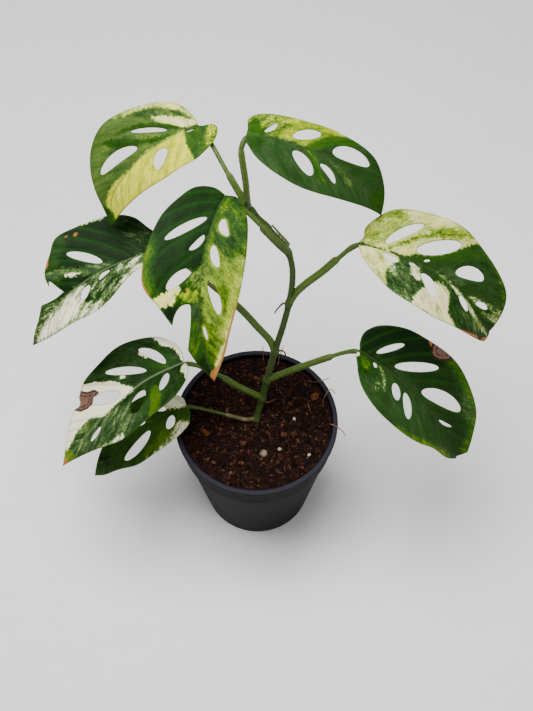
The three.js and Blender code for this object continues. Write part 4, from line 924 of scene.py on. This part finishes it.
def vein_field(leaf, u, v):
    """Closeness to a main side vein, to a fine one, and the swell between main veins, each from 0 to 1."""
    root, lean, away = vein_place(leaf, u, v)
    narrow = np.sqrt(1 + lean ** 2)
    main, fine, swell = np.zeros((3, len(u)))
    for side in (1, -1):
        here = (v - rib_offset(leaf, u)) * side >= 0
        veins = side_veins(leaf, side)
        gap = np.abs(root[:, None] - veins[None, :]).min(1)
        spread = np.interp(root, (veins[1:] + veins[:-1]) / 2, np.diff(veins))
        from_fine = 1.45 - np.abs((root - veins[0]) / 2.9 % 1 - 0.5) * 2.9
        main = np.where(here, bell(gap / narrow, 0.75), main)
        fine = np.where(here, bell(from_fine / narrow, 0.42), fine)
        swell = np.where(here, np.clip(2 * gap / spread, 0, 1), swell)
    fade = smoothstep(leaf["length"] - u, 3, 22) * smoothstep(away, 0.4, 3)
    return main * fade, fine * fade, smoothstep(swell, 0, 0.8) * fade


def unevenness(u, v, size):
    """A smooth uneven field over the blade, about one wave to each size."""
    a, b = u * TURN / size, v * TURN / size
    bent_a, bent_b = a * 0.83 + 1.7 * np.sin(b * 0.61 + 0.4), b * 1.07 + 1.3 * np.sin(a * 0.47 + 1.9)
    return np.sin(bent_a) * np.cos(bent_b)


def paint_blade(leaf, flat):
    """Tone (level, mottle, warmth) and spots (scorch, blush) of the upper face, patch by patch."""
    marks = MARKS[leaf["name"]]
    ragged = sum(share * unevenness(*flat.T, size) for share, size in RAGGED_EDGE)
    tone = np.tile(np.array(marks["ground"], float), (len(flat), 1))

    def cover(share, colour):
        return tone * (1 - share[:, None]) + np.array(colour) * share[:, None]

    for *colour, soft, outline in marks["patches"]:
        depth = depth_in(flat, outline, 2.0) + ragged * (0.7 + 0.3 * soft)
        tone = cover(smoothstep(depth, -soft, soft), colour)
    if "rims" in marks:
        for hole in leaf["holes"]:
            if (hole[1] + hole[3]) * marks["rims"] > 0:
                tone = cover(1 - smoothstep(edge_distance(flat, hole_loop(hole, 1.0)), 0.5, 1.5), PALE_RIM)
    scorch, blush = np.zeros((2, len(flat)))
    for outline in marks.get("scorch", []):
        scorch = np.maximum(scorch, 0.4 + 0.14 * np.clip(depth_in(flat, outline, 1.0), -3, 4))
    for outline in marks.get("blush", []):
        blush = np.maximum(blush, 0.5 + 0.36 * np.clip(depth_in(flat, outline, 1.0), -1.4, 1.4))
    return tone, np.clip(scorch, 0, 1), np.clip(blush, 0, 1)


def flat_blade(margin, holes):
    """Points and triangles of the blade laid flat."""
    low, high = margin.min(0), margin.max(0)
    rows = np.arange(low[1], high[1], BLADE_PITCH * ROW_SHARE)
    grid = np.array([
        (x + (k % 2) * BLADE_PITCH / 2, y)
        for k, y in enumerate(rows) for x in np.arange(low[0], high[0], BLADE_PITCH)
    ])
    to_edge = np.min([edge_distance(grid, loop) for loop in (margin, *holes)], 0)
    grid = grid[on_blade(grid, margin, holes) & (to_edge > BLADE_PITCH * 0.55)]
    flat, triangles = triangulate([margin, *holes], grid, 0)
    return flat, triangles[on_blade(flat[triangles].mean(1), margin, holes)]


def build_blade(leaf, number, material):
    margin = margin_loop(leaf, BLADE_PITCH)
    holes = [hole_loop(hole, BLADE_PITCH * 0.8) for hole in leaf["holes"]]
    flat, triangles = flat_blade(margin, holes)
    count = len(flat)
    u, v = flat.T
    to_margin = edge_distance(flat, margin)
    to_edge = np.min([to_margin] + [edge_distance(flat, hole) for hole in holes], 0)

    # Heights over the upper face and under the lower one: swells, veins, midrib and keel
    main, fine, swell = vein_field(leaf, u, v)
    from_rib = np.abs(v - rib_offset(leaf, u))
    taper = 1 - 0.75 * np.clip(u / leaf["length"], 0, 1)
    rib_width = 0.5 + 0.7 * taper
    inner = smoothstep(to_edge, 0, 2.5)
    uneven = ripple(u, v, number * 7 + 1, 9) * 0.10 + ripple(u, v, number * 7 + 2, 3.2) * 0.035
    relief = (swell * 0.13 - main * 0.13 - fine * 0.03 + uneven) * inner
    groove, shoulders = bell(from_rib, rib_width * 0.8) * 0.38, bell(from_rib - 2.2, 1.0) * 0.14
    relief = relief - groove * taper + shoulders * taper
    keel = bell(from_rib, rib_width * 1.25) * (0.25 + 1.0 * taper) * smoothstep(u, 0, 3)
    below = relief * 0.75 - keel - (main * 0.30 + fine * 0.10) * inner
    half = 0.17 + 0.13 * smoothstep(to_edge, 0, 1.5)
    normal = blade_normal(leaf, u, v)
    middle = blade_point(leaf, u, v)
    top = middle + normal * (half + relief)[:, None]
    bottom = middle + normal * (below - half)[:, None]

    # A row of points a little outside the edges rounds them
    directed = dict.fromkeys((m, n) for t in triangles.tolist() for m, n in zip(t, t[1:] + t[:1]))
    rim = [(m, n) for m, n in directed if (n, m) not in directed]
    after, before = dict(rim), {n: m for m, n in rim}
    edge = sorted(after)
    tangent = flat[[after[m] for m in edge]] - flat[[before[m] for m in edge]]
    outward = np.stack([tangent[:, 1], -tangent[:, 0]], 1)
    place = flat[edge] + outward / length_of(outward) * EDGE_BULGE
    edge_row = blade_point(leaf, *place.T) + normal[edge] * ((relief + below)[edge] / 2)[:, None]
    row = {m: 2 * count + k for k, m in enumerate(edge)}
    faces = [*triangles, *(triangles[:, [0, 2, 1]] + count)]
    for m, n in rim:
        faces += [(n, m, row[m], row[n]), (row[n], row[m], count + m, count + n)]

    # What the leaf material reads at each point: of the upper face, the lower one and the edge row
    tone, scorch, blush = paint_blade(leaf, flat)
    root, _, away = vein_place(leaf, u, v)
    root = root + LEAF_APART * (number + 1) + np.where(v < 0, HALF_APART, 0.0)
    pale_rib = np.full(count, MARKS[leaf["name"]].get("pale_rib", 0.0))
    veins = np.clip(main + fine * 0.16, 0, 1)
    rib = bell(from_rib, rib_width) * smoothstep(u, -1.5, 0.5)
    pale_edge = np.maximum(1 - smoothstep(to_margin, 0.1, 0.9), 0.8 - 0.8 * smoothstep(to_edge, 0.1, 0.8))
    order = [*range(count), *range(count), *edge]
    upper = np.repeat([1, 0, 0.6], [count, count, len(edge)])
    name = leaf["name"]
    points = np.vstack([top, bottom, edge_row])
    make_piece(
        f"leaf_{name}", (points, faces), material, "leaf_variegated", f"blade_{name}",
        leaf_place=np.stack([root, away, pale_rib], 1)[order],
        leaf_tone=tone[order],
        leaf_line=np.column_stack([veins[order], rib[order], upper]),
        leaf_spot=np.stack([scorch, blush, pale_edge], 1)[order],
    )


# Stems

def build_petiole(leaf, number, material):
    """A petiole that clasps the vine, with thin sheath wings beside its groove and a swollen upper end."""
    name = leaf["name"]
    up = rib_frame(leaf, np.array([0.0]))[2][0]
    under_blade = [blade_point(leaf, [along], [0.0])[0] - up * under for along, under in BLADE_SEAT]
    angle = ring_angles(PETIOLE_SIDES)
    from_top = np.abs((angle + math.pi) % TURN - math.pi)
    sheath_end = leaf["sheath_end"] * 0.93
    withered = name == "low_left"

    def section(t, length):
        place = t * length
        to_blade = length - place
        past = smoothstep(place, sheath_end * length - 3, sheath_end * length + 1)
        clasp = 2.7 - 0.35 * min(1.0, place / 14)
        radius = (clasp * (1 - past) + 1.62 * past) * leaf.get("girth", 1.0)
        radius += 0.30 * (1 - smoothstep(to_blade, 11, 16)) * smoothstep(to_blade, 6, 9)
        radius *= 1 - 0.55 * (1 - smoothstep(to_blade, 0, 6))
        radius *= 0.55 + 0.45 * smoothstep(place, 0, 1.4)
        if withered:
            radius *= 0.86 + 0.14 * smoothstep(t, 0.3, 0.6)
        groove = 0.42 * (1 - past) + 0.10 * past * smoothstep(to_blade, 12, 18)
        wing = 0.8 * between(place, 0.5, 5, sheath_end * length - 1.2, sheath_end * length)
        r = radius * (1 - groove * bell(from_top, 0.42)) + wing * bell(from_top - WING_ANGLE, 0.17)
        return ring(angle, r + 0.05 * np.sin(place * 1.7 + 3 * angle + number))

    points, faces, t, length = sweep([*leaf["petiole"], *under_blade], section)
    from_top = np.append(np.tile(from_top, len(points) // PETIOLE_SIDES), [1.5, 1.5])
    swollen = between(t * length, length - 17, length - 12, length - 7, length - 3)
    pale_wing = bell(from_top - WING_ANGLE, 0.22) * (1 - smoothstep(t, sheath_end - 0.03, sheath_end))
    age = np.clip(0.25 + 0.35 * swollen - 0.9 * pale_wing + LEAF_AGE.get(name, 0.0), 0, 1)
    dry = between(t, 0.02, 0.06, 0.34, 0.46) * withered
    make_piece(
        f"stalk_{name}", (points, faces), material, "petiole_green", f"petiole_{name}", age=age, dry=dry,
    )


def build_vine(material):
    angle = ring_angles(VINE_SIDES)
    path = curve_points(STEM_ROUTE, 0.6)

    def section(t, length):
        z = path[round(t * (len(path) - 1))][2]
        radius = 2.8 - 1.0 * t
        for node in STEM_NODES:
            scar = bell(z - node + 2.2, 0.42) - 0.6 * bell(z - node + 3.1, 0.5)
            radius += radius * 0.36 * bell(z - node, 2.6) + 0.18 * scar
        radius *= min(1.0, 0.45 + 0.55 * math.sqrt(min(t, 1 - t) * length / 2.5 + 1e-9))
        ribs = 0.018 * np.sin(5 * angle + z * 0.09) + 0.010 * np.sin(9 * angle - z * 0.13)
        return ring(angle, radius * (1 + ribs) + 0.05 * np.sin(z * 1.3 + 2 * angle))

    points, faces, t, _ = sweep(STEM_ROUTE, section)
    above = points[:, 2] - np.array(STEM_NODES)[:, None]
    near = bell(above, 3.2).max(0)
    scar = bell(above + 2.3, 0.8).max(0)
    age = np.clip(0.75 - 0.45 * t - 0.35 * near + 0.8 * scar, 0, 1)
    make_piece("climbing_vine", (points, faces), material, "vine_green", "vine", age=age)


def build_root(name, radius, route, material, draw):
    """An aerial root that thins to a blunt tip, with short fine hairs."""
    angle = ring_angles(12)
    hair_angle = ring_angles(3)

    def section(t, length):
        r = radius * (1 - 0.45 * t) * (1 + 0.10 * np.sin(7 * t * length + 2 * angle))
        return ring(angle, r * (1 - smoothstep(t, 0.93, 1.0) * 0.7))

    shapes = [sweep(route, section, 0.4)[:2]]
    path = curve_points(route, 0.4)
    for _ in range(HAIRS):
        base = path[draw.randrange(len(path) // 4, len(path) - 1)]
        out = np.array(Vector([draw.gauss(0, 1) for _ in range(3)]).normalized())
        base = base + out * radius * 0.5
        tip = out * draw.uniform(0.8, 1.7)
        bend = drawn_vector(draw, 0.3)
        hair = [base, base + tip * 0.5 + bend * 0.5, base + tip + bend]
        shapes.append(sweep(hair, lambda t, _: ring(hair_angle, 0.055 * (1 - 0.7 * t)), 0.35)[:2])
    points, faces = merge(shapes)
    age = np.full(len(points), 0.5)
    make_piece(f"rootlet_{name}", (points, faces), material, "root_brown", f"aerial_root_{name}", age=age)


def build_old_sheath(material):
    """A dry curled strip, thin at its edges and narrowing towards its far end."""
    across = np.linspace(-1, 1, 15)

    def section(t, length):
        x = across * 1.3 * (1 - 0.55 * t * t) * (1 + 0.06 * math.sin(t * 37))
        curl = across ** 2 * (0.3 + 0.2 * math.sin(t * 9))
        body = 0.30 * (1 - 0.65 * np.abs(across)) * (1 - 0.4 * t)
        return np.vstack([np.stack([x, curl + body], 1), np.stack([x, curl - body * 0.6], 1)[::-1]])

    points, faces, t, _ = sweep(OLD_SHEATH, section, 0.5)
    make_piece("dry_sheath", (points, faces), material, "dry_sheath", "old_sheath", age=t)


# Pot, soil and what lies in it

def rounded(corners, radius, steps=4):
    """A profile with its inner corners rounded by short arcs."""
    corners = [np.array(c, float) for c in corners]
    made = [corners[0]]
    for before, corner, after in zip(corners, corners[1:], corners[2:]):
        back, on = before - corner, after - corner
        reach = min(radius, np.linalg.norm(back) * 0.45, np.linalg.norm(on) * 0.45)
        start = corner + back / np.linalg.norm(back) * reach
        stop = corner + on / np.linalg.norm(on) * reach
        for t in np.linspace(0, 1, steps + 1):
            made.append((1 - t) ** 2 * start + 2 * t * (1 - t) * corner + t * t * stop)
    return made + [corners[-1]]


def build_pot(material):
    top, wall, floor = POT["height"], POT["wall"], POT["floor"]
    band, lip, base = POT["band_radius"], POT["lip_radius"], POT["base_radius"]
    under_lip = top - POT["lip_depth"]
    step = top - POT["band_drop"]
    waist = band - POT["step_in"]
    profile = rounded([
        (8, 0), (base, 0), (waist, step - 3), (band - 0.4, step), (band, under_lip), (lip, under_lip + 0.3),
        (lip, top), (band - wall + 0.1, top), (band - 0.4 - wall, step + 0.8), (waist - wall, step - 2.4),
        (base - wall, floor), (8, floor),
    ], 0.9)
    pot = make_piece("nursery_pot", lathe(profile, POT_SIDES, 0, floor), material, "pot_plastic", "pot")

    low, high = DRILL_REACH
    drill, faces = lathe([(POT["drain_radius"], low), (POT["drain_radius"], high)], DRILL_SIDES, low, high)
    drills = []
    for angle in ring_angles(POT["drain_holes"]):
        centre = np.array((math.cos(angle), math.sin(angle), 0)) * POT["drain_circle"]
        drills.append((drill + centre, faces))
    cutter = place_object("drill", plain_mesh("drill", *merge(drills)))
    cut = pot.modifiers.new("holes", "BOOLEAN")
    cut.object = cutter
    cut.solver = "EXACT"
    cut.operation = "DIFFERENCE"
    bpy.context.view_layer.update()
    done = bpy.data.meshes.new_from_object(pot.evaluated_get(bpy.context.evaluated_depsgraph_get()))
    pot.modifiers.clear()
    pot.data = done
    bpy.data.objects.remove(cutter)


def soil_height(x, y):
    swell = np.sin(x / 16 + 0.6) * np.cos(y / 16) * 0.9
    crumbs = ripple(x, y, 31, 5.0) * 0.7 + ripple(x, y, 32, 2.4) * 0.55
    return SOIL_LEVEL - 0.5 + swell + crumbs


def build_soil(material):
    """The soil's uneven top, and the sides and underside that fill the pot."""
    angle = ring_angles(SOIL_SIDES)
    circle = np.stack([np.cos(angle), np.sin(angle)], 1)
    span = np.arange(-SOIL_RADIUS, SOIL_RADIUS, SOIL_PITCH)
    draw = np.random.default_rng(5)
    grid = np.stack(np.meshgrid(span, span), -1).reshape(-1, 2)
    grid = grid + draw.uniform(-0.35, 0.35, grid.shape)
    grid = grid[np.hypot(*grid.T) < SOIL_RADIUS - 0.8]
    flat, triangles = triangulate([circle * SOIL_RADIUS], grid, 1)
    rough = np.clip(draw.normal(0, 0.33, len(flat)), -0.8, 0.8)
    inner = smoothstep(SOIL_RADIUS - np.hypot(*flat.T), 0, 3)
    z = (soil_height(*flat.T) + rough) * inner + (SOIL_LEVEL - 0.3) * (1 - inner)
    rings = [np.column_stack([circle * reach, np.full(SOIL_SIDES, height)]) for reach, height in SOIL_RINGS]
    points = np.vstack([np.column_stack([flat, z]), *rings, [[0, 0, SOIL_RINGS[-1][1]]]])

    # The skin's first ring is the top's rim, and its own middle point of that ring isn't used
    numbers = [*range(SOIL_SIDES), *range(len(flat), len(points) - 1), None, len(points) - 1]
    sides = [f for f in skin(len(rings) + 1, SOIL_SIDES) if numbers[f[0]] is not None]
    faces = [*triangles, *([numbers[i] for i in face] for face in sides)]
    tint = np.clip(0.32 + 0.16 * ripple(points[:, 0], points[:, 1], 41, 6), 0, 1)
    make_piece("coir_bed", (points, faces), material, "coir_soil", "soil", tint=tint)


def scattered(draw, reach):
    """A random place on a disc."""
    radius, turn = reach * math.sqrt(draw.random()), draw.uniform(0, TURN)
    return radius * math.cos(turn), radius * math.sin(turn)


def stem_clear(x, y):
    return math.dist((x, y), VINE_FOOT) > VINE_CLEARANCE


def make_litter(name, slot, shapes, tints, material):
    """One piece of many small shapes, each with its own tint."""
    tint = np.repeat(tints, [len(points) for points, _ in shapes])
    make_piece(name, merge(shapes), material, slot, tint=tint)


def build_crumbs(material):
    """Loose crumbs and chips of coir and bark, each a small rough lump lying at its own angle."""
    draw = random.Random(11)
    ball, ball_faces = unit_ball(2)
    shapes, tints = [], []
    for _ in range(CRUMBS):
        x, y = scattered(draw, SOIL_RADIUS - 2.2)
        if not stem_clear(x, y):
            continue
        length = draw.uniform(0.55, 1.3) if draw.random() < 0.80 else draw.uniform(1.1, 2.3)
        size = np.array([length, length * draw.uniform(0.35, 0.8), length * draw.uniform(0.25, 0.55)])
        rough = 1 + 0.22 * np.sin(ball @ drawn_vector(draw, 5) + draw.uniform(0, 6))
        rough = rough + 0.10 * np.sin(ball @ drawn_vector(draw, 11))
        spin = Quaternion((draw.uniform(-0.35, 0.35), draw.uniform(-0.35, 0.35), 1), draw.uniform(0, 6.28))
        tilt = Quaternion((draw.uniform(-1, 1), draw.uniform(-1, 1), 0.01), draw.gauss(0, 0.45))
        lump = ball * rough[:, None] * size @ np.array((tilt @ spin).to_matrix()).T
        z = soil_height(x, y) + size[2] * draw.uniform(-0.1, 0.6) + 0.3
        shapes.append((lump + (x, y, z), ball_faces))
        tints.append(draw.choice(CRUMB_TINTS) + draw.uniform(-0.06, 0.06))
    make_litter("coir_crumbs", "coir_soil", shapes, tints, material)


def build_fibres(material):
    """Short curved coir fibres lying over the crumbs."""
    draw = random.Random(23)
    angle = ring_angles(4)
    shapes, tints = [], []
    for _ in range(FIBRES):
        x, y = scattered(draw, SOIL_RADIUS - 5)
        heading, length = draw.uniform(0, 6.28), draw.uniform(3, 9)
        bend, lift, thick = draw.gauss(0, 0.8), draw.uniform(0.2, 1.4), draw.uniform(0.08, 0.16)
        if math.hypot(x, y) + length / 2 > SOIL_RADIUS - 1 or not stem_clear(x, y):
            continue
        route = []
        for t in (-0.5, -0.17, 0.17, 0.5):
            turned = heading + bend * t
            px, py = x + math.cos(turned) * length * t, y + math.sin(turned) * length * t
            route.append([px, py, soil_height(px, py) + 0.5 + lift * (1 - 4 * t * t)])
        shape = sweep(route, lambda t, _: ring(angle, thick * (1 - 0.5 * abs(2 * t - 1))), 0.9)
        shapes.append(shape[:2])
        tints.append(draw.uniform(0.5, 0.95))
    make_litter("coir_fibres", "coir_fibre", shapes, tints, material)


def build_lump(name, seed, material):
    """A pebble, a perlite grain or a bark chip, sunk a little in the soil."""
    x, y, *size, turn, kind = SOIL_PIECES[name]
    draw = random.Random(seed)
    ball, faces = unit_ball(4)
    rough = np.ones(len(ball))
    for spread, amount in ((2.2, 0.07), (5, 0.04), (11, 0.022)):
        for _ in range(3):
            rough += amount * np.sin(ball @ drawn_vector(draw, spread) + draw.uniform(0, 6))
    lump = ball * rough[:, None] * size
    if kind == "bark":
        lump[:, 2] += 0.10 * np.sin(lump[:, 1] * 6)
    cos, sin = math.cos(math.radians(turn)), math.sin(math.radians(turn))
    points = lump @ [[cos, sin, 0], [-sin, cos, 0], [0, 0, 1]] + (x, y, SOIL_LEVEL + size[2] * 0.25)
    make_piece(f"soil_{name}", (points, faces), material, kind, name)


def build_strand(number, route, material):
    angle = ring_angles(10)

    def section(t, length):
        r = COIR_RADIUS * (1 - 0.35 * t) * (1 + 0.12 * np.sin(5 * t * length + 2 * angle + number))
        return ring(angle, r)

    points, faces, t, _ = sweep(route, section, 0.4)
    tint = 0.82 + 0.12 * np.sin(t * 9 + number)
    name, node = f"loose_fibre_{number}", f"coir_strand_{number}"
    make_piece(name, (points, faces), material, "coir_fibre", node, tint=tint)


# Stage: plain pale floor, soft lights, and the camera at the photo's viewing angle

def build_stage():
    s = Shader("studio_floor")
    s.finish(s.mix(s.noise(s.place(), 60.0, 3.0), *FLOOR_TONES), 0.75)
    corners = np.array([(-1, -1, 0), (1, -1, 0), (1, 1, 0), (-1, 1, 0)]) * FLOOR_HALF
    mesh = plain_mesh("studio_floor", corners, [(0, 1, 2, 3)])
    mesh.materials.append(s.material)
    place_object("studio_floor", mesh)


def place_facing(name, data, place, direction):
    """Adds a light or camera that looks along direction."""
    made = place_object(name, data)
    made.location = place
    made.rotation_mode = "QUATERNION"
    made.rotation_quaternion = Vector(direction).to_track_quat("-Z", "Y")
    return made


def build_lights_and_camera():
    for name, (place, size, power) in LIGHTS.items():
        data = bpy.data.lights.new(name, "AREA")
        data.size = size
        data.energy = power
        place_facing(name, data, place, Vector(LIT_PLACE) - Vector(place))
    world = bpy.data.worlds.new("studio")
    world.use_nodes = True
    colour, strength = world.node_tree.nodes["Background"].inputs[:2]
    colour.default_value = SKY_COLOUR
    strength.default_value = SKY_STRENGTH
    bpy.context.scene.world = world
    data = bpy.data.cameras.new("camera")
    data.lens = CAMERA_LENS
    data.sensor_width = CAMERA_SENSOR
    bpy.context.scene.camera = place_facing("camera", data, CAMERA_PLACE, CAMERA_FORWARD)


build_lights_and_camera()
build_stage()

leaf_look = leaf_material()
stem_looks = {name: stem_material(name) for name in STEM_LOOKS}
soil_look = soil_material()
grit_looks = {name: grit_material(name) for name in GRIT_LOOKS}

for number, leaf in enumerate(LEAVES):
    build_blade(leaf, number, leaf_look)
    build_petiole(leaf, number, stem_looks["petiole"])
build_vine(stem_looks["vine"])
root_draw = random.Random(3)
for name, (radius, route) in AERIAL_ROOTS.items():
    build_root(name, radius, route, stem_looks["root"], root_draw)
build_old_sheath(stem_looks["sheath"])
build_pot(pot_material())
build_soil(soil_look)
build_crumbs(soil_look)
build_fibres(soil_look)
for seed, (name, values) in enumerate(SOIL_PIECES.items()):
    build_lump(name, seed, grit_looks[values[-1]])
for number, route in enumerate(COIR_STRANDS, 1):
    build_strand(number, route, soil_look)
